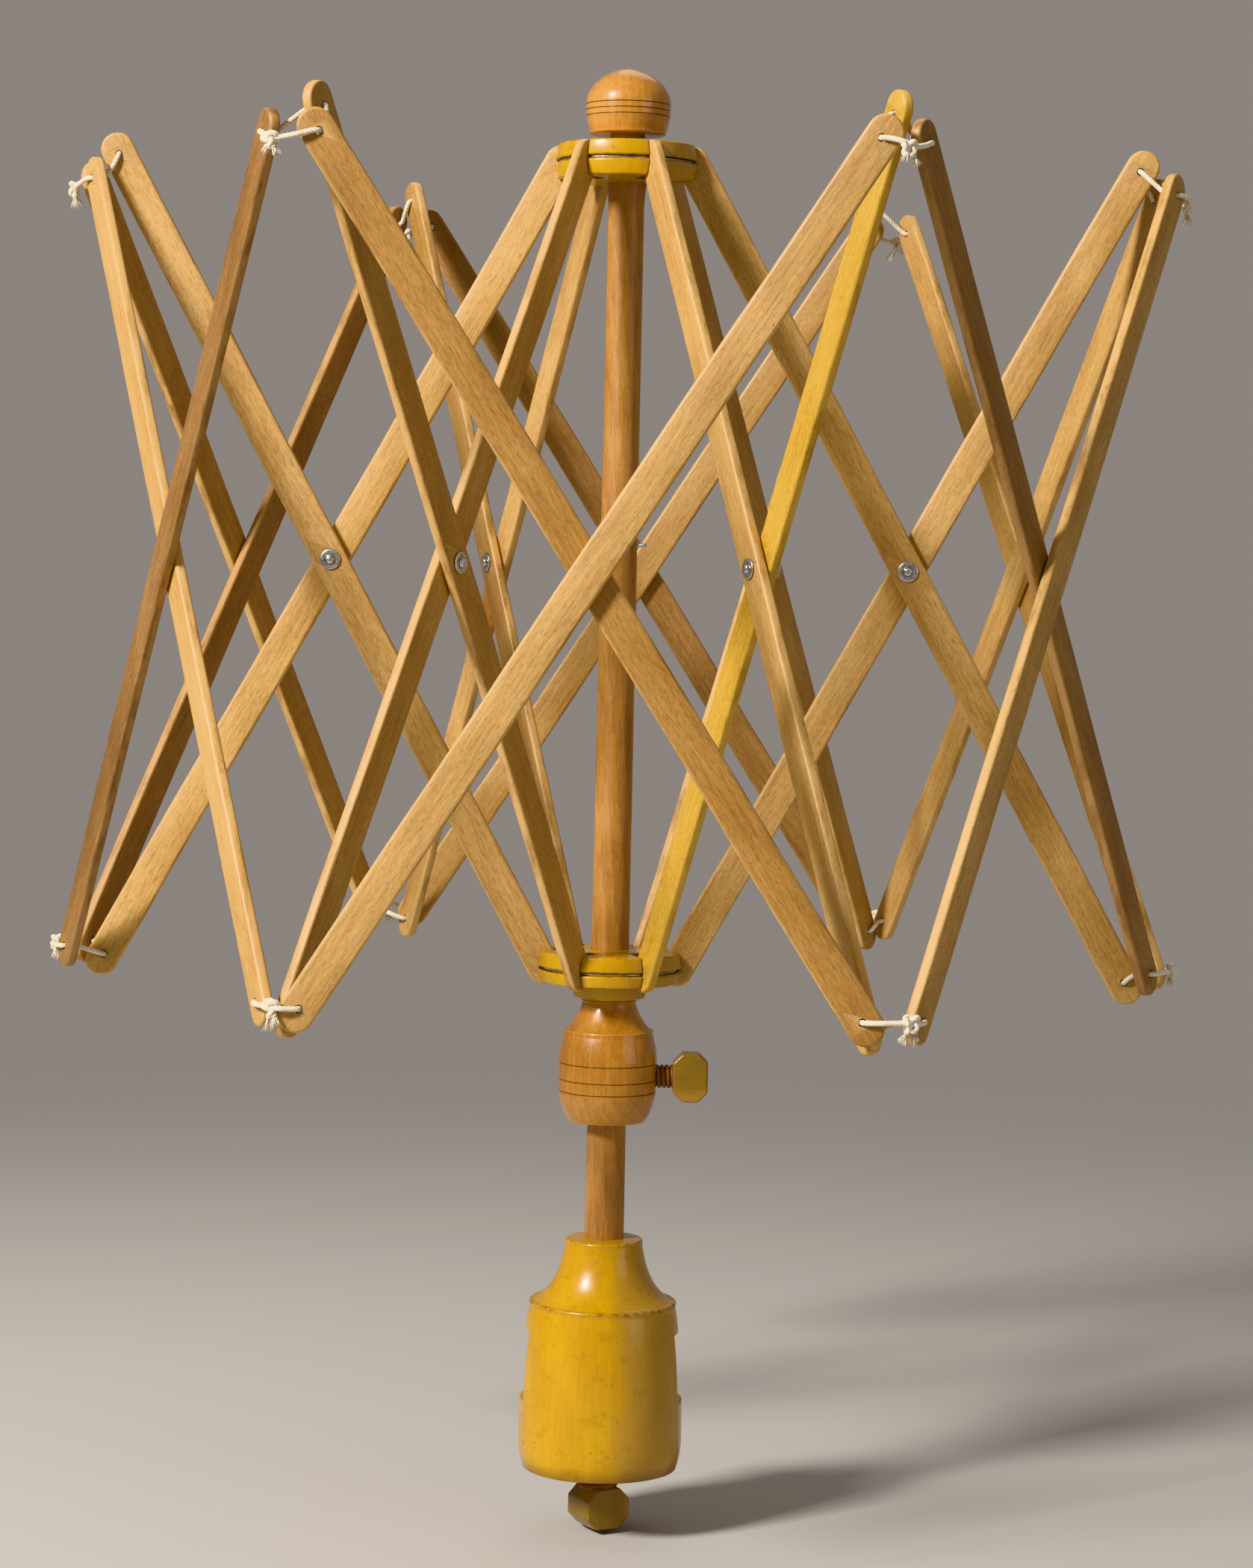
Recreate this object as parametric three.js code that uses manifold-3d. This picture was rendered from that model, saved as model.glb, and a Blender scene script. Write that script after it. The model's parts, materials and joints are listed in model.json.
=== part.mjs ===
// An umbrella swift: a folding wooden reel that holds a skein of yarn, on a clamp for a table's edge.
// Millimetres, +Z up. The origin is on the shaft's axis, on the underside of the clamp's upper jaw.
// Six spokes stand round the shaft. In each, an upper arm and a lower arm cross at a rivet, and
// between each two spokes a pair of face slats crosses outside them.

import * as THREE from 'three';
import { mergeVertices } from 'three/addons/utils/BufferGeometryUtils.js';
import Module from 'manifold-3d';

const wasm = await Module();
wasm.setup();

const { degToRad } = THREE.MathUtils;

// Driving dimensions.
const SPOKES = 6;
const REEL_TURN = degToRad(-3);         // how far the first spoke is turned from +X
const GAP = 0.3;                        // air between pieces that touch
const ARM_ANGLE = degToRad(61.1);       // the upper arms' slope below the horizontal
const ARM_SPAN = 390;                   // from an arm's hub hole to its outer hole
const PIVOT_R = 28.2;                   // radius of the wire rings that the arms turn on
const UPPER_PIVOT_Z = 495;

const SLAT_WIDTH = 14;
const SLAT_THICK = 4.5;
const HUB_OVERHANG = 7.5;               // arm past its hub hole
const END_OVERHANG = 9.5;               // arm or slat past its outer hole
const CORD_HOLE_R = 1.5;
const RIVET_HOLE_R = 1.8;
const ARM_OFFSET = 0.2;                 // arm's inner side to the spoke's middle plane

const FACE_OUT = 14.5;                  // middle of a slat pair, outside the line between two arm ends
const LAYER_OFFSET = 2.45;              // middle of a face slat to the middle of its pair
const FACE_INSET = 4;                   // face slat's hole from the spoke, along the face
const TOP_DROP = 11;                    // face slat's upper hole below the arm's
const BOTTOM_RISE = 4.5;                // face slat's lower hole above the arm's

const SHAFT_R = 8;
const SHAFT_TOP_R = 7.6;                // the shaft tapers above the collar, to its shoulder
const TAPER_Z = 160;
const SPINDLE_R = 7;                    // the shaft's upper end, which carries the hub and the knob
const RUNNING_R = 8.4;                  // bore of what slides on the shaft
const WIRE_R = 0.8;
const CORD_R = 0.95;
const KNOT = { radius: 2.6, out: 20, topZ: -14.5, bottomZ: 5 };

const HUB = { radius: 30, groove: 27, grooveHalf: 1.5, slotFloor: 16, bevel: 1.2 };
const UPPER_HUB = { ...HUB, bore: 7.3, above: 8, below: 8, flangeR: 0, flange: 0 };
const LOWER_HUB = { ...HUB, bore: RUNNING_R, above: 7.6, below: 6.4, flangeR: 16, flange: 6.8 };
const SLOT_CLEARANCE = 0.4;

const NECK_TOP_Z = 38.7;
const SOCKET_FLOOR_Z = 5;
const SHOULDER_Z = 12.3;
const THROAT_FLOOR_Z = -28.8;
const THROAT_WALL_Y = -11;
const BASE_Z = -61;
const TABLE_THICK = 17.5;

const STOP_PIN = { z: 333, radius: 0.9, length: 24.5, turn: degToRad(-12) };
const COLLAR_HEIGHT = 51.2;
const KNOB_Z = 507.2;
const KNOB_HEIGHT = 28.4;
const KNOB_SOCKET = 12;                 // how far the spindle goes into the knob

// A screw's head is [width, height, depth] as its screw points up, and it sits on the last of the thread.
const THUMBSCREW = { z: 107.9, radius: 4.9, tip: 3, thread: 21, head: [21, 15, 11], engaged: 5 };
const CLAMP_SCREW = { radius: 8, tip: 3, thread: 50, head: [20.5, 17.4, 18], engaged: 5 };

// Sizes that follow from them.
const RIM_R = PIVOT_R + ARM_SPAN * Math.cos(ARM_ANGLE);
const LOWER_PIVOT_Z = UPPER_PIVOT_Z - ARM_SPAN * Math.sin(ARM_ANGLE);
const COLLAR_TOP_Z = LOWER_PIVOT_Z - LOWER_HUB.below - LOWER_HUB.flange - GAP;
const FACE_R = RIM_R * Math.cos(Math.PI / SPOKES) + FACE_OUT;
const SPOKE_STEP = 2 * Math.PI / SPOKES;

// Finishes.
const finish = (color, roughness, metalness = 0) => ({ color, roughness, metalness });
const YELLOW_PAINT = finish('#c9991c', 0.3);
const OLIVE_PAINT = finish('#8f7a22', 0.45);
const AMBER_WOOD = finish('#b9702a', 0.25);
const SHAFT_WOOD = finish('#b07a42', 0.4);
const SLAT_WOOD = finish('#b98f4e', 0.45);
const DARK_SLAT_WOOD = finish('#a5773a', 0.45);
const SCREW_WOOD = finish('#7d4526', 0.55);
const STEEL = finish('#8c8a86', 0.35, 1);
const ALUMINIUM = finish('#c4c4c2', 0.3, 1);
const COTTON = finish('#d9d3c2', 0.9);

// Geometry helpers.
function toSolid(geometry) {
  const bare = geometry.clone();
  bare.deleteAttribute('normal');
  bare.deleteAttribute('uv');
  const merged = mergeVertices(bare, 1e-4);
  const mesh = new wasm.Mesh({
    numProp: 3,
    vertProperties: new Float32Array(merged.attributes.position.array),
    triVerts: new Uint32Array(merged.index.array),
  });
  return new wasm.Manifold(mesh);
}

function toGeometry(solid) {
  const { vertProperties, triVerts, numProp } = solid.getMesh();
  const position = new Float32Array(triVerts.length * 3);
  triVerts.forEach((vertex, corner) => {
    position.set(vertProperties.subarray(vertex * numProp, vertex * numProp + 3), corner * 3);
  });
  const geometry = new THREE.BufferGeometry();
  geometry.setAttribute('position', new THREE.BufferAttribute(position, 3));
  geometry.computeVertexNormals();
  return geometry;
}

function cut(geometry, ...cutters) {
  const less = (solid, cutter) => solid.subtract(toSolid(cutter));
  return toGeometry(cutters.reduce(less, toSolid(geometry)));
}

// A lathe's profile runs up its outside. The lathe turns about Y, so it is stood up along Z.
function turned(points, segments) {
  const profile = points.map(([r, z]) => new THREE.Vector2(r, z));
  return new THREE.LatheGeometry(profile, segments).rotateX(Math.PI / 2);
}

// The points of a smooth curve through [radius, z] pairs.
function bulge(pairs, divisions) {
  const curve = new THREE.SplineCurve(pairs.map(([r, z]) => new THREE.Vector2(r, z)));
  return curve.getPoints(divisions).map((point) => [point.x, point.y]);
}

// A ring-shaped V cut into a turned outline, at radius r and height z.
const grooveAt = (r, z) => [[r, z - 0.5], [r - 0.6, z], [r, z + 0.5]];

function rod(radius, length, segments = 16) {
  return new THREE.CylinderGeometry(radius, radius, length, segments).rotateX(Math.PI / 2);
}

function roundHole(radius, x) {
  return new THREE.Path().absarc(x, 0, radius, 0, 2 * Math.PI, true);
}

// A flat bar with round ends. It runs from its first hole, at the origin, along +X, and fills
// y = -SLAT_THICK to 0.
function slatGeometry(span, startOverhang, holes) {
  const half = SLAT_WIDTH / 2;
  const outline = new THREE.Shape();
  outline.absarc(span + END_OVERHANG - half, 0, half, -Math.PI / 2, Math.PI / 2, false);
  outline.absarc(half - startOverhang, 0, half, Math.PI / 2, 3 * Math.PI / 2, false);
  outline.holes = holes.map(({ radius, at }) => roundHole(radius, at));
  const options = { depth: SLAT_THICK, bevelEnabled: false, curveSegments: 5 };
  return new THREE.ExtrudeGeometry(outline, options).rotateX(Math.PI / 2);
}

function piece(name, geometry, look) {
  const mesh = new THREE.Mesh(geometry, new THREE.MeshStandardMaterial(look));
  mesh.name = name;
  return mesh;
}

function placed(object, x, y, z) {
  object.position.set(x, y, z);
  return object;
}

// The stand: clamp body, shaft, knob and stop pin.
function clampBody() {
  const coveTop = [16.3, NECK_TOP_Z - 0.8];
  const barrelTop = [30.6, SHOULDER_Z - 0.6];
  const cove = bulge([[30, 12.6], [25.5, 16], [20.5, 22.3], [17.6, 30], coveTop], 5);
  const barrel = bulge([[29.5, BASE_Z], [33.4, -56], [34.7, -43], [33.7, -14], barrelTop], 7);
  const outline = turned([
    [0, -10], [CLAMP_SCREW.radius + GAP, -10], [CLAMP_SCREW.radius + GAP, BASE_Z],
    ...barrel, ...cove,
    [15.6, NECK_TOP_Z], [SHAFT_R + GAP, NECK_TOP_Z], [SHAFT_R + GAP, SOCKET_FLOOR_Z], [0, SOCKET_FLOOR_Z],
  ], 32);
  const reach = 60;
  const throat = new THREE.BoxGeometry(2 * reach, reach, -THROAT_FLOOR_Z);
  throat.translate(0, THROAT_WALL_Y + reach / 2, THROAT_FLOOR_Z / 2);
  return piece('clamp_body', cut(outline, throat), YELLOW_PAINT);
}

function stopPinRod(radius) {
  const { z, length, turn } = STOP_PIN;
  return rod(radius, length, 10).rotateY(Math.PI / 2).rotateZ(turn).translate(-0.5, 0, z);
}

function shaft() {
  const shoulder = UPPER_PIVOT_Z - UPPER_HUB.below - GAP;
  const top = KNOB_Z + KNOB_SOCKET;
  const outline = turned([
    [0, SOCKET_FLOOR_Z + GAP], [SHAFT_R, SOCKET_FLOOR_Z + GAP], [SHAFT_R, TAPER_Z],
    [SHAFT_TOP_R, shoulder], [SPINDLE_R, shoulder], [SPINDLE_R, top], [0, top],
  ], 24);
  return piece('shaft', cut(outline, stopPinRod(STOP_PIN.radius + GAP)), SHAFT_WOOD);
}

function knob() {
  const socket = SPINDLE_R + GAP;
  const socketTop = KNOB_SOCKET + GAP;
  const lower = bulge([[15.8, 0], [17, 3.4], [17.7, 6.4]], 2);
  const upper = bulge([[18.1, 13.4], [17, 17.6], [14.5, 21.3], [10.8, 24.4], [5.8, 26.8], [1.4, 27.7]], 6);
  const outline = turned([
    [0, socketTop], [socket, socketTop], [socket, 0],
    ...lower, ...grooveAt(17.9, 7.4), ...grooveAt(18.1, 9.9), ...grooveAt(18.2, 12.4), ...upper,
    [0, KNOB_HEIGHT],
  ], 24);
  return placed(piece('knob', outline, AMBER_WOOD), 0, 0, KNOB_Z);
}

function stand() {
  return [clampBody(), shaft(), knob(), piece('stop_pin', stopPinRod(STOP_PIN.radius), STEEL)];
}

// A hub is a disc with a wire groove round its rim and one slot for each arm. side is the side of the
// spoke's middle plane that the arms lie on, -1 or 1. The wire's plane is z = 0.
function hubGeometry(hub, side) {
  const { radius, groove, grooveHalf, bevel, above, below, bore, flange, flangeR } = hub;
  const base = -below - flange;
  const foot = flange ? [[flangeR - 1, base], [flangeR, base + 1], [flangeR, -below]] : [];
  const outline = turned([
    [bore, base], ...foot,
    [radius - bevel, -below], [radius, bevel - below], [radius, -grooveHalf], [groove, -grooveHalf],
    [groove, grooveHalf], [radius, grooveHalf], [radius, above - bevel], [radius - bevel, above],
    [bore, above], [bore, base],
  ], 36);
  const width = SLAT_THICK + 2 * SLOT_CLEARANCE;
  const middle = side * (ARM_OFFSET + SLAT_THICK / 2);
  const slots = [...Array(SPOKES).keys()].map((spoke) => {
    const slot = new THREE.BoxGeometry(radius, width, above + below + 0.02);
    slot.translate(hub.slotFloor + radius / 2, middle, (above - below) / 2);
    return slot.rotateZ(spoke * SPOKE_STEP);
  });
  return cut(outline, ...slots);
}

function hubWithWire(name, hub, side, z) {
  const disc = piece(`${name}_hub`, hubGeometry(hub, side), YELLOW_PAINT);
  const wire = piece(`${name}_hub_wire`, new THREE.TorusGeometry(PIVOT_R, WIRE_R, 5, 36), STEEL);
  return [placed(disc, 0, 0, z), placed(wire, 0, 0, z)];
}

// The collar that carries the lower hub. Its height is counted down from its top.
function collar() {
  const shoulder = bulge([[18.5, -13], [15.5, -10.2], [12.6, -6.6], [11.4, -1.2]], 4);
  const foot = [[16.4, -COLLAR_HEIGHT], [17.6, 0.8 - COLLAR_HEIGHT]];
  const belly = bulge([...foot, [19.8, -43.5], [20.7, -39.8]], 3);
  const flank = bulge([[20.9, -25.2], [20.2, -18.5], [18.7, -13.6]], 2);
  const outline = turned([
    [RUNNING_R, -COLLAR_HEIGHT], ...belly,
    ...grooveAt(20.8, -38.5), ...grooveAt(20.9, -33.5), ...grooveAt(20.9, -26.5), ...flank,
    ...shoulder, [11.2, 0], [RUNNING_R, 0], [RUNNING_R, -COLLAR_HEIGHT],
  ], 28);
  const bore = rod(THUMBSCREW.radius + GAP, 40).rotateY(Math.PI / 2);
  bore.translate(25, 0, THUMBSCREW.z - COLLAR_TOP_Z);
  return placed(piece('collar', cut(outline, bore), AMBER_WOOD), 0, 0, COLLAR_TOP_Z);
}

// A wooden screw points along +Z with its tip's face at z = 0 and its head below.
function screwHead({ radius, thread, tip, head, engaged }) {
  const [width, height, depth] = head;
  const top = -tip - GAP - thread + engaged;
  const corner = height * 0.26;
  const outline = new THREE.Shape();
  outline.moveTo(-width / 2, -height + corner);
  outline.lineTo(-width / 2 + corner, -height);
  outline.lineTo(width / 2 - corner, -height);
  outline.lineTo(width / 2, -height + corner);
  outline.lineTo(width / 2, -corner);
  outline.lineTo(width / 2 - corner, 0);
  outline.lineTo(-width / 2 + corner, 0);
  outline.lineTo(-width / 2, -corner);
  const block = new THREE.ExtrudeGeometry(outline, {
    depth: depth - 2, bevelEnabled: true, bevelThickness: 1, bevelSize: 1, bevelOffset: -1, bevelSegments: 1,
  });
  block.translate(0, 0, 1 - depth / 2).rotateX(Math.PI / 2).translate(0, 0, top);
  const socket = rod(radius + GAP, engaged + GAP).translate(0, 0, top - (engaged + GAP) / 2 + 0.01);
  return cut(block, socket);
}

function screw(name, size) {
  const { radius, tip, thread } = size;
  const nose = rod(radius - 0.8, tip, 20).translate(0, 0, -tip / 2);
  const stem = rod(radius, thread, 20).translate(0, 0, -tip - GAP - thread / 2);
  return [
    piece(`${name}_tip`, nose, SCREW_WOOD),
    piece(`${name}_thread`, stem, SCREW_WOOD),
    piece(`${name}_head`, screwHead(size), OLIVE_PAINT),
  ];
}

// The thumbscrew comes in along -X and meets the shaft.
function thumbscrew() {
  const group = placed(new THREE.Group(), SHAFT_R + GAP, 0, THUMBSCREW.z);
  group.rotation.set(0, -Math.PI / 2, 0);
  return group.add(...screw('thumbscrew', THUMBSCREW));
}

function clampScrew() {
  const group = placed(new THREE.Group(), 0, 0, -TABLE_THICK);
  group.rotation.z = degToRad(30);
  return group.add(...screw('clamp_screw', CLAMP_SCREW));
}

// One spoke, with +X outward along it. The arms lie on each side of the middle plane.
function armGeometry() {
  return slatGeometry(ARM_SPAN, HUB_OVERHANG, [
    { radius: CORD_HOLE_R, at: 0 },
    { radius: RIVET_HOLE_R, at: ARM_SPAN / 2 },
    { radius: CORD_HOLE_R, at: ARM_SPAN },
  ]);
}

function rivet(name) {
  const inner = ARM_OFFSET + SLAT_THICK + GAP;
  const washer = [[1.5, inner], [4.35, inner], [4.2, inner + 0.7], [2, inner + 0.8]];
  const half = [...washer, [1.7, inner + 1.6], [0, inner + 2]];
  const mirrored = half.map(([r, y]) => [r, -y]).reverse();
  const outline = turned([...mirrored, ...half], 10).rotateX(-Math.PI / 2);
  return piece(name, outline, ALUMINIUM);
}

// Where a face slat's hole lies, seen from the arm's hole. side is 1 for the inner layer, whose slat is on
// the arm's own side of the spoke, and -1 for the outer layer. out is measured from the slat's middle,
// and along runs down the face, away from the spoke.
function slatHole(side, out, height, along = 0) {
  const layer = FACE_OUT - side * LAYER_OFFSET + out;
  const inset = FACE_INSET + along;
  const lean = Math.PI / SPOKES;
  return new THREE.Vector3(
    layer * Math.cos(lean) - inset * Math.sin(lean),
    side * (layer * Math.sin(lean) + inset * Math.cos(lean)),
    height,
  );
}

// A smooth route whose tube has one ring of corners at each point it is given.
class CordRoute extends THREE.CatmullRomCurve3 {
  getSpacedPoints(count) {
    return this.getPoints(count);
  }

  getTangentAt(position) {
    return this.getTangent(position);
  }
}

// A cord runs from its knot into the inner layer's slat, through the arm, out through the outer
// layer's slat and back to the knot. It is drawn for an upper corner of the reel, where the slats'
// holes and the knot lie at the heights given. A lower corner's tie is the same, upside down.
function tieGeometry(height, knotZ) {
  const face = SLAT_THICK / 2;
  const armSide = ARM_OFFSET + SLAT_THICK;
  const knotAt = new THREE.Vector3(KNOT.out, 0, knotZ);
  const between = (height + knotZ) / 2;
  const points = [
    knotAt,
    slatHole(1, face + 2.2, between, -8),
    slatHole(1, face + 1.5, height - 0.3, -2),
    slatHole(1, face + 0.4, height),
    slatHole(1, -face - 0.4, height),
    slatHole(1, -face - 1.7, height * 0.9, -0.8),
    new THREE.Vector3(2.2, armSide + CORD_R + 0.8, height * 0.5),
    new THREE.Vector3(0.3, armSide + CORD_R + 0.2, height * 0.12),
    new THREE.Vector3(0, armSide + 0.3, 0),
    new THREE.Vector3(0, ARM_OFFSET - 0.3, 0),
    new THREE.Vector3(1.2, -2.2, height * 0.12),
    slatHole(-1, -face - 1.6, height * 0.92, -0.8),
    slatHole(-1, -face - 0.4, height),
    slatHole(-1, face + 0.4, height),
    slatHole(-1, face + 1.5, height - 0.3, -2),
    slatHole(-1, face + 2.2, between, -8),
    knotAt,
  ];
  const route = new CordRoute(points, false, 'centripetal');
  const section = new THREE.Shape().absarc(0, 0, CORD_R, 0, 2 * Math.PI, false);
  const steps = points.length - 1;
  const cord = new THREE.ExtrudeGeometry(section, { steps, curveSegments: 3, extrudePath: route });
  const knot = new THREE.IcosahedronGeometry(KNOT.radius).translate(knotAt.x, knotAt.y, knotAt.z);
  return toGeometry(toSolid(cord).add(toSolid(knot)));
}

function spoke(index, arm, topTie, bottomTie) {
  const number = index + 1;
  const group = new THREE.Group();
  group.rotation.z = REEL_TURN + index * SPOKE_STEP;

  const upper = piece(`upper_arm_${number}`, arm, SLAT_WOOD);
  placed(upper, PIVOT_R, -ARM_OFFSET, UPPER_PIVOT_Z);
  upper.rotation.y = ARM_ANGLE;
  const lower = piece(`lower_arm_${number}`, arm, SLAT_WOOD);
  placed(lower, PIVOT_R, ARM_OFFSET + SLAT_THICK, LOWER_PIVOT_Z);
  lower.rotation.y = -ARM_ANGLE;

  const middle = (UPPER_PIVOT_Z + LOWER_PIVOT_Z) / 2;
  const pin = placed(rivet(`arm_rivet_${number}`), (PIVOT_R + RIM_R) / 2, 0, middle);

  const top = placed(piece(`top_tie_${number}`, topTie, COTTON), RIM_R, 0, UPPER_PIVOT_Z);
  const bottom = placed(piece(`bottom_tie_${number}`, bottomTie, COTTON), RIM_R, 0, LOWER_PIVOT_Z);
  bottom.rotation.x = Math.PI;
  return group.add(upper, lower, pin, top, bottom);
}

// The two slats of one face of the reel. The group's +X runs along the face, from one spoke to the
// next, and its -Y points outward.
function face(index) {
  const number = index + 1;
  const group = new THREE.Group();
  group.rotation.z = REEL_TURN + (index + 0.5) * SPOKE_STEP + Math.PI / 2;

  const across = RIM_R - 2 * FACE_INSET;
  const topZ = UPPER_PIVOT_Z - TOP_DROP;
  const down = topZ - LOWER_PIVOT_Z - BOTTOM_RISE;
  const span = Math.hypot(across, down);
  const slope = Math.atan2(down, across);
  const holes = [{ radius: CORD_HOLE_R, at: 0 }, { radius: CORD_HOLE_R, at: span }];
  const slat = slatGeometry(span, END_OVERHANG, holes);

  const backY = SLAT_THICK / 2 - FACE_R;
  const inner = piece(`inner_slat_${number}`, slat, SLAT_WOOD);
  placed(inner, -across / 2, backY + LAYER_OFFSET, topZ).rotation.y = slope;
  const outer = piece(`outer_slat_${number}`, slat, DARK_SLAT_WOOD);
  placed(outer, across / 2, backY - LAYER_OFFSET, topZ).rotation.y = Math.PI - slope;
  return group.add(inner, outer);
}

function hubs() {
  const group = new THREE.Group();
  group.rotation.z = REEL_TURN;
  return group.add(
    ...hubWithWire('upper', UPPER_HUB, -1, UPPER_PIVOT_Z),
    ...hubWithWire('lower', LOWER_HUB, 1, LOWER_PIVOT_Z),
  );
}

const swift = new THREE.Group();
swift.add(...stand(), hubs(), collar(), thumbscrew(), clampScrew());
const arm = armGeometry();
const topTie = tieGeometry(-TOP_DROP, KNOT.topZ);
const bottomTie = tieGeometry(-BOTTOM_RISE, -KNOT.bottomZ);
for (let index = 0; index < SPOKES; index += 1) {
  swift.add(spoke(index, arm, topTie, bottomTie), face(index));
}

export default swift;
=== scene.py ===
"""The visual model of a wooden umbrella swift, a folding yarn reel on a table clamp.

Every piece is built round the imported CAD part. Places come from the frame's joints and node boxes.
Lengths that the frame doesn't hold are in millimetres, and MM turns them into metres.
"""

import json
import math
import random

import bmesh
import bpy
import numpy as np
from mathutils import Matrix, Vector


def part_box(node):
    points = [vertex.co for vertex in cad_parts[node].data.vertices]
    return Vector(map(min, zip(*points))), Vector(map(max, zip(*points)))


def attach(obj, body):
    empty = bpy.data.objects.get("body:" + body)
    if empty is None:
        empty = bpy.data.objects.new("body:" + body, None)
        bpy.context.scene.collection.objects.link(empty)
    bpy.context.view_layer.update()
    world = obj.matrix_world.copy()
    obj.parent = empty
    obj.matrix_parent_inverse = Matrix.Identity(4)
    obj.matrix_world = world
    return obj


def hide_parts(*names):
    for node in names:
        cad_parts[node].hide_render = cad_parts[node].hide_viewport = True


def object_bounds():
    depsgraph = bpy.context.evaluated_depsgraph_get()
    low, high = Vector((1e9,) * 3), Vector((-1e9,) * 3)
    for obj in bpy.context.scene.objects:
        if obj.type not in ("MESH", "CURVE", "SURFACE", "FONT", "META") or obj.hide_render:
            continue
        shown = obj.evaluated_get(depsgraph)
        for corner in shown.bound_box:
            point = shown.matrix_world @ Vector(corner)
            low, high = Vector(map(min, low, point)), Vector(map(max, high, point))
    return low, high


MM = 0.001
SPOKES = range(1, 7)
UP = Vector((0, 0, 1))

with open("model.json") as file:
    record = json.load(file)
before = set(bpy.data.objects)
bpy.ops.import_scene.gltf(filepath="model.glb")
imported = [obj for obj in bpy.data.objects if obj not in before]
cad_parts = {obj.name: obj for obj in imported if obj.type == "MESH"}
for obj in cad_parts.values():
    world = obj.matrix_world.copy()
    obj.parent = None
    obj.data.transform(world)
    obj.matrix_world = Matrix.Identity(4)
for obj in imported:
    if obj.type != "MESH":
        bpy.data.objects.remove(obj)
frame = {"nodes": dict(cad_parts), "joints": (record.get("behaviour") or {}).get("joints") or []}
cad_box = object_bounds()
joints = {joint["name"]: joint for joint in frame["joints"]}
chance = random.Random(7)


# ---------------------------------------------------------------- camera, light and floor

CAMERA_DISTANCE = 1.5735
CAMERA_HEIGHT = 0.3279
CAMERA_YAW = 0.0021
CAMERA_ROLL = 0.0217
CAMERA_LENS = 85.1
CAMERA_SHIFT = -0.1447
FLOOR_RADIUS = 1.45
FLOOR_SOLID = 0.35
FLOOR_GAP = 0.002
FLOOR_COLOR = (0.50, 0.485, 0.47, 1)
WORLD_COLOR = (0.85, 0.77, 0.71, 1)
WORLD_STRENGTH = 0.35
LIT_PLACE = Vector((0, 0, 0.25))
LIGHTS = {  # place, side, watts and colour
    "key": ((-1.7, -1.55, 1.7), 0.50, 118, (1.0, 0.95, 0.87)),
    "fill": ((2.3, -1.7, 0.7), 1.4, 6, (0.96, 0.97, 1.0)),
    "back": ((0.3, 1.5, 2.4), 1.4, 5, (1.0, 0.98, 0.95)),
}


def new_object(name, data):
    made = bpy.data.objects.new(name, data)
    bpy.context.scene.collection.objects.link(made)
    return made


def make_camera():
    data = bpy.data.cameras.new("camera")
    data.sensor_width = 36
    data.lens = CAMERA_LENS
    data.shift_y = CAMERA_SHIFT
    camera = new_object("camera", data)
    place = Matrix.Translation((0, -CAMERA_DISTANCE, CAMERA_HEIGHT))
    level = Matrix.Rotation(-CAMERA_YAW, 4, "Z") @ Matrix.Rotation(math.pi / 2, 4, "X")
    camera.matrix_world = place @ level @ Matrix.Rotation(CAMERA_ROLL, 4, "Z")
    bpy.context.scene.camera = camera


def make_studio():
    for name, (place, side, watts, color) in LIGHTS.items():
        data = bpy.data.lights.new(name, "AREA")
        data.size, data.energy, data.color = side, watts, color
        light = new_object(name, data)
        light.location = place
        light.rotation_euler = (LIT_PLACE - Vector(place)).to_track_quat("-Z", "Y").to_euler()
    world = bpy.data.worlds.new("studio")
    world.use_nodes = True
    background = world.node_tree.nodes["Background"]
    background.inputs["Color"].default_value = WORLD_COLOR
    background.inputs["Strength"].default_value = WORLD_STRENGTH
    bpy.context.scene.world = world
    bpy.context.scene.view_settings.view_transform = "Khronos PBR Neutral"


def make_floor():
    """A pale disc that fades out to the world's own tone, so that no horizon shows."""
    place = (0, 0, cad_box[0].z - FLOOR_GAP)
    bpy.ops.mesh.primitive_circle_add(vertices=96, radius=FLOOR_RADIUS, fill_type="NGON", location=place)
    floor = bpy.context.object
    floor.name = "floor"
    g = Graph("floor")
    where = g.add("ShaderNodeTexCoord").outputs["Object"]
    reach = g.add("ShaderNodeVectorMath", {0: where}, operation="LENGTH").outputs["Value"]
    solid = g.band(reach, FLOOR_RADIUS, FLOOR_SOLID)
    g.tree.links.new(solid, g.shader.inputs["Alpha"])
    floor.data.materials.append(g.finish(FLOOR_COLOR, 0.85, None))


# ---------------------------------------------------------------- material nodes


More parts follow.
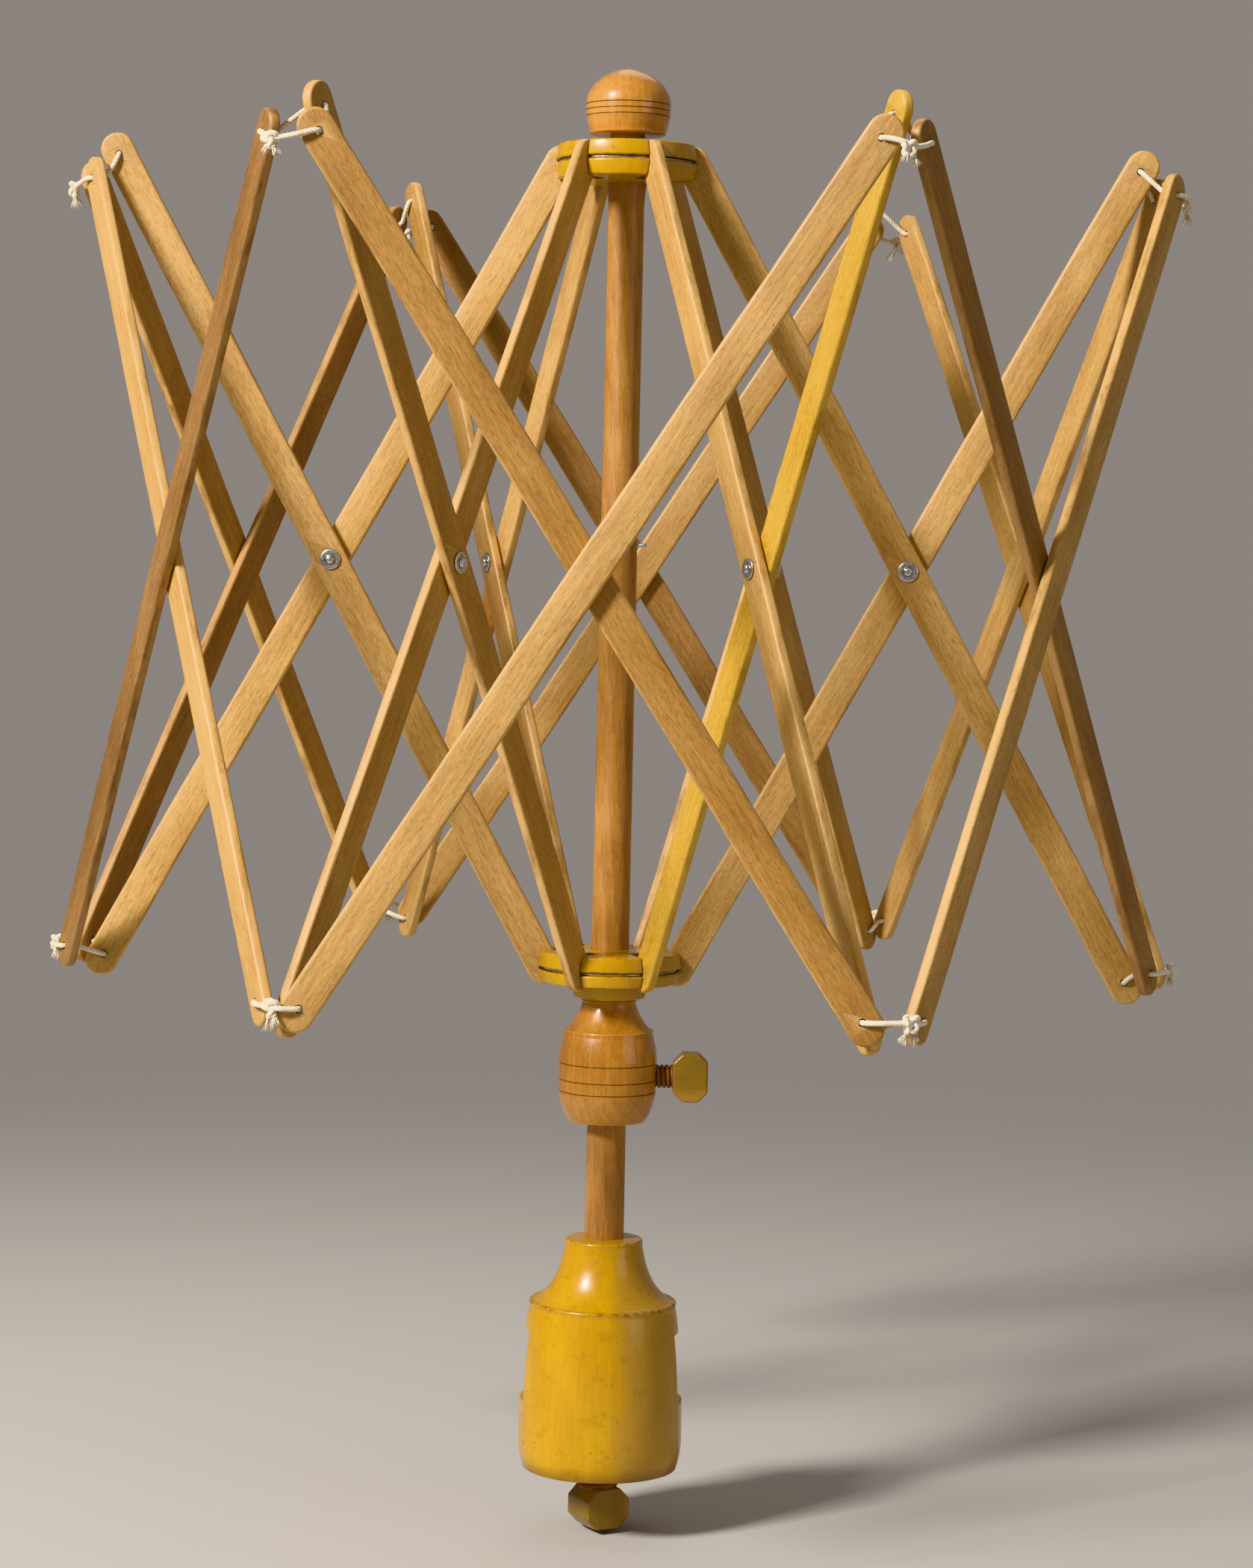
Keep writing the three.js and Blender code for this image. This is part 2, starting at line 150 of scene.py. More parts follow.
class Graph:
    """A material's node tree, with one short method for each kind of node it uses."""

    def __init__(self, name):
        self.material = bpy.data.materials.new(name)
        self.material.use_nodes = True
        self.tree = self.material.node_tree
        self.shader = self.tree.nodes["Principled BSDF"]

    def add(self, kind, inputs=None, **settings):
        made = self.tree.nodes.new(kind)
        for key, value in settings.items():
            setattr(made, key, value)
        for key, value in (inputs or {}).items():
            if isinstance(value, bpy.types.NodeSocket):
                self.tree.links.new(value, made.inputs[key])
            else:
                made.inputs[key].default_value = value
        return made

    def math(self, operation, a, b=0.0):
        return self.add("ShaderNodeMath", {0: a, 1: b}, operation=operation).outputs[0]

    def weighted(self, parts, base=0.0):
        """base plus the sum of (value, weight) pairs."""
        for value, weight in parts:
            base = self.math("ADD", base, self.math("MULTIPLY", value, weight))
        return base

    def place(self, scale):
        """Object coordinates in millimetres, times a scale for each axis, shifted by the piece's seed."""
        where = self.add("ShaderNodeTexCoord").outputs["Object"]
        seed = self.value("seed")
        shift = self.add("ShaderNodeCombineXYZ", {0: seed, 1: seed, 2: seed}).outputs[0]
        factor = tuple(s / MM for s in scale)
        return self.add(
            "ShaderNodeVectorMath", {0: where, 1: factor, 2: shift}, operation="MULTIPLY_ADD"
        ).outputs[0]

    def axes(self):
        where = self.add("ShaderNodeTexCoord").outputs["Object"]
        parts = self.add("ShaderNodeSeparateXYZ", {0: where}).outputs
        return [self.math("DIVIDE", part, MM) for part in parts]

    def value(self, name):
        """A number that the piece's mesh carries."""
        return self.add("ShaderNodeAttribute", attribute_name=name).outputs["Fac"]

    def noise(self, scale, detail=3.0, roughness=0.55):
        inputs = {"Vector": self.place(scale), "Scale": 1.0, "Detail": detail, "Roughness": roughness}
        return self.add("ShaderNodeTexNoise", inputs).outputs["Fac"]

    def band(self, value, low, high):
        """0 below low, 1 above high, and smooth between. It runs the other way when low is above high."""
        inputs = {"Value": value, "From Min": low, "From Max": high}
        return self.add("ShaderNodeMapRange", inputs, interpolation_type="SMOOTHSTEP").outputs["Result"]

    def ramp(self, value, stops):
        made = self.add("ShaderNodeValToRGB", {"Fac": value})
        points = made.color_ramp.elements
        while len(points) < len(stops):
            points.new(0.5)
        for point, (position, color) in zip(points, stops):
            point.position = position
            point.color = (*color, 1)
        return made.outputs["Color"]

    def mix(self, factor, a, b, blend="MIX"):
        a, b = [(*c, 1) if isinstance(c, tuple) else c for c in (a, b)]
        made = self.add("ShaderNodeMix", {0: factor, 6: a, 7: b}, data_type="RGBA", blend_type=blend)
        return made.outputs[2]

    def tint(self, color, amount, weight, over):
        """Lays a colour over another, by an amount times a weight."""
        return self.mix(self.math("MULTIPLY", amount, weight), color, over)

    def bump(self, height, distance, below=None):
        inputs = {"Height": height, "Distance": distance * MM, "Strength": 1.0}
        if below is not None:
            inputs["Normal"] = below
        return self.add("ShaderNodeBump", inputs).outputs["Normal"]

    def finish(self, color, roughness, normal, coat=0.0, coat_roughness=0.15, metallic=0.0):
        for key, value in {"Base Color": color, "Roughness": roughness, "Normal": normal}.items():
            if isinstance(value, bpy.types.NodeSocket):
                self.tree.links.new(value, self.shader.inputs[key])
            elif value is not None:
                self.shader.inputs[key].default_value = value
        self.shader.inputs["Coat Weight"].default_value = coat
        self.shader.inputs["Coat Roughness"].default_value = coat_roughness
        self.shader.inputs["Metallic"].default_value = metallic
        return self.material


# ---------------------------------------------------------------- materials


def slat_material(name, light, middle, dark):
    """Straight-grained varnished hardwood. X runs along the bar, Y across it and Z through it."""
    g = Graph(name)
    _, y, z = g.axes()
    wander = g.noise((0.006, 0.06, 0.06), detail=2)
    phase = g.weighted([(y, 0.30), (z, 0.16), (wander, 5.0)], g.value("seed"))
    rings = g.math("ABSOLUTE", g.math("SINE", g.math("MULTIPLY", phase, math.pi)))
    fibre = g.noise((0.055, 0.9, 0.9), detail=5, roughness=0.62)
    fine = g.noise((0.20, 3.2, 3.2), detail=3, roughness=0.6)
    blotch = g.noise((0.016, 0.05, 0.05), detail=2)
    total = g.weighted([(rings, 0.05), (fibre, 0.46), (fine, 0.44), (blotch, 0.62)])
    color = g.ramp(total, [(0.52, dark), (0.78, middle), (1.05, light)])
    flecks = g.band(g.noise((0.34, 3.0, 3.0), detail=2, roughness=0.5), 0.52, 0.64)
    color = g.tint(color, flecks, 0.44, tuple(0.6 * c for c in dark))
    tone = g.value("tone")
    color = g.mix(g.band(tone, 0.0, 1.0), color, (1.22, 1.24, 1.16), "MULTIPLY")
    color = g.mix(g.band(tone, 0.0, -1.0), color, (0.70, 0.62, 0.50), "MULTIPLY")
    rubbed = g.band(g.noise((0.05, 0.2, 0.2), detail=4), 0.34, 0.58)
    edge = g.math("MULTIPLY", g.value("wear"), rubbed)
    color = g.tint(color, edge, 0.62, tuple(1.22 * c for c in light))
    grime = g.band(g.noise((0.11, 0.30, 0.30), detail=5, roughness=0.7), 0.60, 0.74)
    color = g.tint(color, grime, 0.30, (0.20, 0.10, 0.035))
    torn = g.math("MULTIPLY", g.value("chip"), g.band(g.noise((0.12, 0.5, 0.5), detail=5), 0.40, 0.52))
    color = g.mix(torn, color, (0.52, 0.19, 0.035))
    rough = g.weighted([(fibre, 0.20)], 0.36)
    normal = g.bump(fibre, 0.10)
    normal = g.bump(g.weighted([(flecks, -0.5)], fine), 0.05, normal)
    return g.finish(color, rough, normal, coat=0.18, coat_roughness=0.28)


def turned_wood_material(name, light, middle, dark, coat, ring_step, roughness=0.26):
    """Wood turned about Z: growth rings round a leaning pith, long fibres, and painted shade in scored
    lines.
    """
    g = Graph(name)
    x, y, z = g.axes()
    wobble = g.noise((0.035, 0.035, 0.012), detail=3)
    side = g.weighted([(z, 0.10)], g.math("ADD", x, 11.0))
    depth = g.weighted([(z, 0.05)], g.math("SUBTRACT", y, 9.0))
    reach = g.math("SQRT", g.weighted([(side, side), (depth, depth)]))
    phase = g.math("DIVIDE", g.weighted([(wobble, 9.0)], reach), ring_step)
    rings = g.math("FRACT", g.math("ADD", phase, g.value("seed")))
    fibre = g.noise((0.9, 0.9, 0.06), detail=5, roughness=0.65)
    fine = g.noise((3.2, 3.2, 0.22), detail=3)
    blotch = g.noise((0.06, 0.06, 0.03), detail=3)
    total = g.weighted([(rings, 0.09), (fibre, 0.42), (fine, 0.36), (blotch, 0.66)])
    color = g.ramp(total, [(0.50, dark), (0.76, middle), (1.02, light)])
    flecks = g.band(g.noise((2.6, 2.6, 0.5), detail=2), 0.60, 0.70)
    color = g.tint(color, flecks, 0.40, tuple(0.5 * c for c in dark))
    color = g.tint(color, g.value("wear"), 0.35, tuple(1.15 * c for c in light))
    # Painted shade where a piece marks its points dark, in the scored lines' grooves; the knob's top nib is
    # marked dark as well.
    color = g.tint(color, g.value("dark"), 0.72, (0.085, 0.030, 0.010))
    smudge = g.noise((0.16, 0.16, 0.10), detail=4)
    rough = g.weighted([(smudge, 0.16)], roughness)
    normal = g.bump(g.noise((0.22, 0.22, 0.10), detail=2), 0.12)
    normal = g.bump(fibre, 0.03, normal)
    return g.finish(color, rough, normal, coat=coat, coat_roughness=0.10)


def lacquer_material(name, bright, deep, worn, coat=0.55):
    """Tinted lacquer over turned wood: faint upright grain, cloudy patches, pits, rubbed edges and painted
    shade.
    """
    g = Graph(name)
    x, _, _ = g.axes()
    grain = g.noise((0.55, 0.55, 0.035), detail=5, roughness=0.6)
    cloud = g.noise((0.035, 0.035, 0.022), detail=3)
    total = g.weighted([(grain, 0.55), (cloud, 0.85)])
    color = g.ramp(total, [(0.48, deep), (0.92, bright)])
    # Painted shade: the side towards +X, away from the key light, is tinted duller and browner, with a
    # cloudy edge.
    right_side_painted_shade = g.band(g.weighted([(cloud, 30.0)], x), 18.0, 27.0)
    color = g.tint(color, right_side_painted_shade, 0.62, (0.40, 0.225, 0.050))
    scuffs = g.band(g.noise((0.10, 0.10, 0.16), detail=6, roughness=0.72), 0.53, 0.66)
    color = g.tint(color, scuffs, 0.36, (0.30, 0.150, 0.012))
    dirt = g.band(g.noise((0.24, 0.24, 0.20), detail=6, roughness=0.78), 0.57, 0.68)
    color = g.tint(color, dirt, 0.46, worn)
    cells = g.add("ShaderNodeTexVoronoi", {"Vector": g.place((0.22, 0.22, 0.22)), "Scale": 1.0})
    spots = g.math("MULTIPLY", g.band(cells.outputs["Distance"], 0.10, 0.05), g.band(cloud, 0.50, 0.56))
    color = g.tint(color, spots, 0.75, (0.16, 0.07, 0.015))
    chips = g.band(g.noise((0.42, 0.42, 0.42), detail=5, roughness=0.7), 0.50, 0.60)
    edge = g.math("MULTIPLY", g.value("wear"), chips)
    color = g.tint(color, edge, 0.80, worn)
    # Darkens where a piece marks its points dark: painted shade in the hubs' wire grooves and at the clamp
    # body's bottom, and a slight darkening on its shoulder rim.
    color = g.tint(color, g.value("dark"), 0.85, (0.05, 0.025, 0.01))
    rough = g.weighted([(dirt, 0.22), (edge, 0.22)], 0.30)
    normal = g.bump(g.noise((0.16, 0.16, 0.07), detail=3), 0.16)
    normal = g.bump(g.math("SUBTRACT", g.math("MULTIPLY", grain, 0.5), spots), 0.05, normal)
    return g.finish(color, rough, normal, coat=coat, coat_roughness=0.12)


def screw_wood_material():
    g = Graph("screw_wood")
    fibre = g.noise((0.9, 0.9, 0.9), detail=5, roughness=0.7)
    stops = [(0.30, (0.11, 0.040, 0.016)), (0.52, (0.25, 0.098, 0.040)), (0.75, (0.37, 0.17, 0.075))]
    # Painted shade in the thread's valleys, from the dark marks.
    color = g.tint(g.ramp(fibre, stops), g.value("dark"), 0.7, (0.045, 0.016, 0.008))
    return g.finish(color, g.weighted([(fibre, 0.2)], 0.42), g.bump(fibre, 0.08))


def steel_material():
    g = Graph("steel")
    stain = g.noise((0.25, 0.25, 0.25), detail=5, roughness=0.7)
    color = g.ramp(stain, [(0.35, (0.34, 0.325, 0.31)), (0.60, (0.78, 0.77, 0.75))])
    rough = g.weighted([(stain, 0.25)], 0.22)
    return g.finish(color, rough, g.bump(g.noise((2.0, 2.0, 2.0)), 0.02), metallic=1.0)


def aluminium_material():
    g = Graph("aluminium")
    haze = g.noise((0.7, 0.7, 0.7), detail=5, roughness=0.7)
    color = g.ramp(haze, [(0.35, (0.46, 0.45, 0.44)), (0.62, (0.84, 0.84, 0.83))])
    # Painted shade in the rivets' creases, from the dark marks.
    color = g.tint(color, g.value("dark"), 0.75, (0.10, 0.09, 0.08))
    rough = g.weighted([(haze, 0.26)], 0.16)
    return g.finish(color, rough, g.bump(g.noise((1.4, 1.4, 1.4)), 0.03), metallic=1.0)


def cotton_material():
    g = Graph("cotton")
    fuzz = g.noise((5.0, 5.0, 5.0), detail=4, roughness=0.7)
    soil = g.noise((0.16, 0.16, 0.16), detail=3)
    color = g.mix(g.band(soil, 0.45, 0.72), (0.86, 0.80, 0.66), (0.66, 0.56, 0.40))
    # Painted shade between the cord's strands, from the dark marks.
    color = g.tint(color, g.value("dark"), 0.55, (0.36, 0.29, 0.20))
    color = g.tint(color, fuzz, 0.25, (0.88, 0.86, 0.80))
    g.shader.inputs["Sheen Weight"].default_value = 0.25
    return g.finish(color, 0.92, g.bump(fuzz, 0.10))


LIGHT_WOOD = ((0.665, 0.430, 0.180), (0.520, 0.312, 0.112), (0.320, 0.166, 0.048))
DARK_WOOD = ((0.450, 0.265, 0.112), (0.325, 0.176, 0.064), (0.185, 0.088, 0.026))
YELLOW_WOOD = ((0.620, 0.400, 0.090), (0.500, 0.300, 0.052), (0.320, 0.168, 0.024))
AMBER = ((0.610, 0.315, 0.080), (0.465, 0.208, 0.040), (0.285, 0.106, 0.015))
SHAFT = ((0.520, 0.290, 0.100), (0.390, 0.190, 0.052), (0.220, 0.092, 0.020))
MUSTARD = ((0.580, 0.335, 0.010), (0.445, 0.230, 0.005), (0.215, 0.092, 0.010))
OLIVE = ((0.275, 0.172, 0.030), (0.165, 0.098, 0.018), (0.300, 0.165, 0.040))

MATERIALS = {
    "slat_wood": slat_material("slat_wood", *LIGHT_WOOD),
    "dark_slat_wood": slat_material("dark_slat_wood", *DARK_WOOD),
    "yellow_slat_wood": slat_material("yellow_slat_wood", *YELLOW_WOOD),
    "shaft_wood": turned_wood_material("shaft_wood", *SHAFT, coat=0.25, ring_step=4.5, roughness=0.36),
    "amber_wood": turned_wood_material("amber_wood", *AMBER, coat=0.75, ring_step=3.4),
    "yellow_paint": lacquer_material("yellow_paint", *MUSTARD),
    "olive_paint": lacquer_material("olive_paint", *OLIVE, coat=0.25),
    "screw_wood": screw_wood_material(),
    "steel": steel_material(),
    "aluminium": aluminium_material(),
    "cotton": cotton_material(),
}


# ---------------------------------------------------------------- mesh helpers


def make_piece(name, vertices, faces, material, **values):
    """A smooth-shaded mesh whose points carry the values that the materials read."""
    mesh = bpy.data.meshes.new(name)
    mesh.from_pydata([tuple(v) for v in vertices], [], faces)
    # dark darkens the colour; the pieces use it mostly for painted shade in grooves, creases and undersides.
    values = {"wear": 0.0, "dark": 0.0, "seed": 0.0, "tone": 0.0, "chip": 0.0, **values}
    for key, value in values.items():
        attribute = mesh.attributes.new(key, "FLOAT", "POINT")
        filled = np.broadcast_to(np.asarray(value, np.float32), len(mesh.vertices))
        attribute.data.foreach_set("value", np.ascontiguousarray(filled))
    mesh.materials.append(MATERIALS[material])
    mesh.polygons.foreach_set("use_smooth", [True] * len(mesh.polygons))
    mesh.update()
    return new_object(name, mesh)


def stand_for(piece, node, body):
    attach(piece, body)
    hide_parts(node)


def cut_away(piece, cutters, edge=0.0):
    """Cuts the cutters out of the piece. edge rounds what the cut leaves sharp, in millimetres."""
    for cutter in cutters:
        modifier = piece.modifiers.new("cut", "BOOLEAN")
        modifier.operation = "DIFFERENCE"
        modifier.solver = "EXACT"
        modifier.object = cutter
    if edge:
        bevel = piece.modifiers.new("edge", "BEVEL")
        bevel.width = edge * MM
        bevel.segments = 2
        bevel.limit_method = "ANGLE"
        bevel.angle_limit = math.radians(50)
    graph = bpy.context.evaluated_depsgraph_get()
    mesh = bpy.data.meshes.new_from_object(piece.evaluated_get(graph))
    piece.modifiers.clear()
    piece.data = mesh
    for cutter in cutters:
        bpy.data.objects.remove(cutter)


def sharpen(piece, degrees=38):
    """Keeps the edges that turn by more than this many degrees sharp in the shading."""
    piece.data.set_sharp_from_angle(angle=math.radians(degrees))
    return piece


def make_cutter(work, matrix):
    bmesh.ops.transform(work, matrix=matrix, verts=work.verts)
    mesh = bpy.data.meshes.new("cutter")
    work.to_mesh(mesh)
    work.free()
    return new_object("cutter", mesh)


def cutting_block(size, matrix):
    """A box for cut_away, size in millimetres."""
    work = bmesh.new()
    bmesh.ops.create_cube(work, size=1.0)
    return make_cutter(work, matrix @ Matrix.Diagonal([s * MM for s in size] + [1]))


def cutting_rod(radius, length, matrix, sides=40):
    """A cylinder along Z for cut_away, in millimetres."""
    work = bmesh.new()
    r = radius * MM
    bmesh.ops.create_cone(work, cap_ends=True, segments=sides, radius1=r, radius2=r, depth=length * MM)
    return make_cutter(work, matrix)


def skin(rows, sides, first=0):
    """Quads between rows of points. Each row is a ring, and first is the first ring's first point."""
    faces = []
    for row in range(rows - 1):
        for k in range(sides):
            a, b = first + row * sides + k, first + row * sides + (k + 1) % sides
            faces.append((a, b, b + sides, a + sides))
    return faces


def capped_skin(rows, sides):
    last = (rows - 1) * sides
    return [*skin(rows, sides), tuple(reversed(range(sides))), tuple(range(last, last + sides))]


def along(direction):
    """A rotation that turns +Z to the direction."""
    return Vector(direction).to_track_quat("Z", "Y").to_matrix().to_4x4()


# Outlines for turned pieces. A point is (radius, height, wear, dark), dark being mostly painted shade.


def curve_through(pairs, count):
    """Points of a smooth curve through (radius, height) pairs."""
    points = [Vector(pair) for pair in pairs]
    points = [2 * points[0] - points[1], *points, 2 * points[-1] - points[-2]]
    made = []
    for a, b, c, d in zip(points, points[1:], points[2:], points[3:]):
        square, cube = 2 * a - 5 * b + 4 * c - d, 3 * b - a - 3 * c + d
        for step in range(count):
            t = step / count
            p = 0.5 * (2 * b + (c - a) * t + square * t**2 + cube * t**3)
            made.append((p.x, p.y, 0.0, 0.0))
    made.append((*points[-2], 0.0, 0.0))
    return made


def rounded_corner(before, corner, after, radius, wear=1.0, steps=6):
    """The arc that rounds a corner between two straight lines."""
    corner = Vector(corner)
    to_before = (Vector(before) - corner).normalized()
    to_after = (Vector(after) - corner).normalized()
    half = to_before.angle(to_after) / 2
    centre = corner + (to_before + to_after).normalized() * (radius / math.sin(half))
    start = corner + to_before * (radius / math.tan(half)) - centre
    end = corner + to_after * (radius / math.tan(half)) - centre
    made = []
    for step in range(steps + 1):
        t = step / steps
        ray = start.slerp(end, t)
        made.append((centre.x + ray.x, centre.y + ray.y, wear * math.sin(math.pi * t), 0.0))
    return made


def scored_line(radius, height, depth=0.34, half=0.26):
    """A fine groove with soft lips, going up the outline, marked dark at its bottom for painted shade."""
    lower = [(-1.7, 0, 0), (-1.0, 0.02, 0.25), (-0.45, 0.75, 1)]
    steps = [*lower, (0, 1, 1), *[(-h, d, dark) for h, d, dark in reversed(lower)]]
    return [(radius - depth * d, height + half * h, 0.0, dark) for h, d, dark in steps]


def line(*points):
    return [(r, z, 0.0, 0.0) for r, z in points]


def lifted(outline, height):
    return [(r, z + height, wear, dark) for r, z, wear, dark in outline]


def turn(name, outline, material, segments=96, closed=False, seed=0.0):
    """Turns an outline round Z. It runs up the outside. closed joins its end to its start, at a bore."""
    outline = [(max(r, 0.0) * MM, z * MM, wear, dark) for r, z, wear, dark in outline]
    vertices, wears, darks, rows = [], [], [], []
    for r, z, wear, dark in outline:
        turns = segments if r > 0 else 1
        rows.append([len(vertices) + k for k in range(turns)])
        for k in range(turns):
            angle = 2 * math.pi * k / segments
            vertices.append((r * math.cos(angle), r * math.sin(angle), z))
            wears.append(wear)
            darks.append(dark)
    faces = []
    for low, high in [*zip(rows, rows[1:]), *([(rows[-1], rows[0])] if closed else [])]:
        for k in range(segments):
            n = (k + 1) % segments
            if len(low) == 1 < len(high):
                faces.append((low[0], high[n], high[k]))
            elif len(high) == 1 < len(low):
                faces.append((low[k], low[n], high[0]))
            elif len(low) > 1:
                faces.append((low[k], low[n], high[n], high[k]))
    return make_piece(name, vertices, faces, material, wear=wears, dark=darks, seed=seed)


# ---------------------------------------------------------------- places from the frame


def node_top(node):
    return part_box(node)[1].z / MM


def node_floor(node):
    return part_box(node)[0].z / MM


def node_radius(node):
    low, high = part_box(node)
    return (high.x - low.x) / 2 / MM


def joint_place(name):
    return Vector(joints[name]["pos_m"])


def spoke_direction(spoke):
    place = joint_place(f"top_tie_{spoke}_turn")
    return Vector((place.x, place.y, 0)).normalized()


# ---------------------------------------------------------------- stand

SHAFT_RADIUS = node_radius("shaft")
SPINDLE_RADIUS = 7.0
BORE_GAP = 0.3
SLIDING_GAP = 0.4


def make_clamp_body():
    """A turned bottle with a throat cut in from behind for the table's edge."""
    top, floor, widest = node_top("clamp_body"), node_floor("clamp_body"), node_radius("clamp_body")
    shoulder = 12.3
    socket = SHAFT_RADIUS + BORE_GAP
    screw_bore = node_radius("clamp_screw_thread") + BORE_GAP
    side = [(32.6, -57.6), (34.2, -51), (widest, -43), (34.4, -28), (33.5, -10), (32.0, 4), (31.0, 10.6)]
    # Painted shade: the barrel is marked darker below z -52, and the foot and bottom rim darker still.
    barrel = [(r, z, wear, 0.12 * max(0.0, -52 - z)) for r, z, wear, _ in curve_through(side, 8)]
    foot = rounded_corner((20, floor), (32.0, floor), (32.8, -56), 4.2, steps=9)
    edge = rounded_corner((31.0, 10.6), (30.9, shoulder), (28.0, 13.3), 0.7)
    neck = [(29.0, 12.9), (25.3, 15.6), (21.6, 20.2), (18.7, 26.4), (17.0, 33), (16.3, top - 1.2)]
    outline = [
        *line((0, -12), (screw_bore, -12)),
        *rounded_corner((screw_bore, -12), (screw_bore, floor), (29, floor), 0.6),
        # The foot carries the bottom rim's painted shade.
        *[(r, z, wear, 0.62) for r, z, wear, _ in foot],
        *barrel,
        *[(r, z, 1.0, 0.12) for r, z, _, _ in edge],
        *curve_through(neck, 8),
        *rounded_corner((16.3, top - 2), (16.2, top), (10, top), 0.8),
        *rounded_corner((14, top), (socket, top), (socket, 20), 0.4),
        *line((socket, 5), (0, 5)),
    ]
    body = turn("clamp_body_turned", outline, "yellow_paint", segments=144)
    throat_floor, wall, cut_width, cut_depth = -28.8, -11.0, 140, 60
    middle = Vector((0, wall + cut_depth / 2, throat_floor / 2)) * MM
    throat = cutting_block((cut_width, cut_depth, -throat_floor), Matrix.Translation(middle))
    cut_away(body, [throat], edge=0.7)
    stand_for(sharpen(body), "clamp_body", "stand")


def make_shaft():
    """One long dowel that tapers above the collar, with a faint ripple and a spindle under the knob."""
    floor, top = node_floor("shaft"), node_top("shaft")
    step = node_floor("upper_hub") - BORE_GAP
    upper, taper_z, rings, ripple = 7.6, 160, 32, 0.03
    lower_end, upper_end = Vector((SHAFT_RADIUS, taper_z)), Vector((upper, step))
    tapered = [lower_end.lerp(upper_end, k / rings) for k in range(rings)]
    outline = [
        *line((0, floor)),
        *rounded_corner((0, floor), (SHAFT_RADIUS, floor), (SHAFT_RADIUS, step), 0.5),
        *line(*[(r - ripple * (k % 2), z) for k, (r, z) in enumerate(tapered)]),
        *rounded_corner((upper, floor), (upper, step), (SPINDLE_RADIUS, step), 0.3),
        *line((SPINDLE_RADIUS, step)),
        *rounded_corner((SPINDLE_RADIUS, step), (SPINDLE_RADIUS, top), (0, top), 0.5),
        *line((0, top)),
    ]
    shaft = turn("shaft_turned", outline, "shaft_wood", segments=72, seed=3.1)
    stand_for(sharpen(shaft), "shaft", "stand")


def make_knob():
    """A ball with a flat foot, three scored rings and the small nib that turning left on top."""
    base, top = node_floor("knob"), node_top("knob")
    tip = top - base
    socket = SPINDLE_RADIUS + BORE_GAP
    ball = [(18.1, 13.6), (17.8, 15.4), (16.9, 17.8), (14.4, 21.4), (10.7, 24.5)]
    crown = [(5.8, 26.8), (3.0, 27.5), (1.6, 27.7)]
    outline = [
        *line((0, 12), (socket, 12)),
        *rounded_corner((socket, 12), (socket, 0), (15, 0), 0.4),
        *rounded_corner((12, 0), (16.0, 0), (16.5, 3), 0.8),
        *curve_through([(16.3, 1.0), (17.1, 3.8), (17.6, 6.2)], 6),
        *scored_line(17.9, 7.4),
        *scored_line(18.1, 9.9),
        *scored_line(18.15, 12.4),
        *curve_through([*ball, *crown], 6),
        *[(1.0, 27.85, 0, 0.5), (0.7, 28.1, 0, 0.7), (0.35, tip, 0, 0.8), (0.0, tip, 0, 0.8)],
    ]
    knob = turn("knob_turned", lifted(outline, base), "amber_wood", segments=112, seed=0.3)
    stand_for(sharpen(knob, 50), "knob", "stand")


def make_stop_pin():
    """A cut steel pin with dented sides and thinner ends, level and aslant through the shaft."""
    low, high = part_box("stop_pin")
    thick, rings, thin_end = 1.8, 24, 0.6
    direction = Vector((high.x - low.x, -(high.y - low.y - thick * MM), 0)).normalized()
    half = (high.x - low.x) / 2 / abs(direction.x) / MM - 0.2
    outline = line((0, -half))
    for k in range(rings + 1):
        z = -half + 2 * half * k / rings
        radius = 0.76 if abs(z) > half - thin_end else 0.86
        outline += line((radius + chance.uniform(-0.05, 0.03), z))
    outline += line((0, half))
    pin = turn("stop_pin_wire", outline, "steel", segments=16)
    pin.matrix_world = Matrix.Translation((low + high) / 2) @ along(direction)
    stand_for(pin, "stop_pin", "stand")


# ---------------------------------------------------------------- hubs


def hub_outline(above, below, bore, foot):
    """A disc with rounded rims and a wire groove. Heights are from the wire's plane."""
    rim, groove, lip = 29.9, 27.2, 1.35
    outline = line((bore, 0))
    if foot:
        outline += rounded_corner((bore, 0), (bore, -below - foot), (15, -below - foot), 0.4)
        outline += rounded_corner((12, -below - foot), (15.9, -below - foot), (15.9, -below), 1.6)
        outline += line((15.9, -below - 1), (15.9, -below))
    else:
        outline += rounded_corner((bore, 0), (bore, -below), (20, -below), 0.4)
    outline += rounded_corner((20, -below), (rim, -below), (rim, 0), 1.5)
    outline += rounded_corner((rim, -below), (rim, -lip), (groove, -lip), 0.25, steps=3)
    # Painted shade: the wire groove's points are marked dark.
    outline += [(groove + 0.2, -lip, 0, 0.8), (groove, 0.2 - lip, 0, 1)]
    outline += [(groove, lip - 0.2, 0, 1), (groove + 0.2, lip, 0, 0.8)]
    outline += rounded_corner((groove, lip), (rim, lip), (rim, above), 0.25, steps=3)
    outline += rounded_corner((rim, 0), (rim, above), (20, above), 1.5)
    outline += rounded_corner((20, above), (bore, above), (bore, 0), 0.4)
    return outline


def make_hub(name, bore, side, foot, seed):
    """A hub disc with one slot for each arm, on the arms' own side of each spoke."""
    slot_middle, slot_aside, slot_length, slot_width = 31, 2.45, 30, 5.3
    wire_z = (node_top(f"{name}_wire") + node_floor(f"{name}_wire")) / 2
    above, below = node_top(name) - wire_z, wire_z - node_floor(name) - foot
    outline = lifted(hub_outline(above, below, bore, foot), wire_z)
    hub = turn(f"{name}_turned", outline, "yellow_paint", segments=144, closed=True, seed=seed)
    middle = UP * (wire_z + (above - below) / 2)
    cutters = []
    for spoke in SPOKES:
        outward = spoke_direction(spoke)
        across = UP.cross(outward)
        centre = (outward * slot_middle + across * side * slot_aside + middle) * MM
        matrix = Matrix.Translation(centre) @ Matrix((outward, across, UP)).transposed().to_4x4()
        cutters.append(cutting_block((slot_length, slot_width, above + below + 0.2), matrix))
    cut_away(hub, cutters, edge=0.35)
    stand_for(sharpen(hub), name, name)


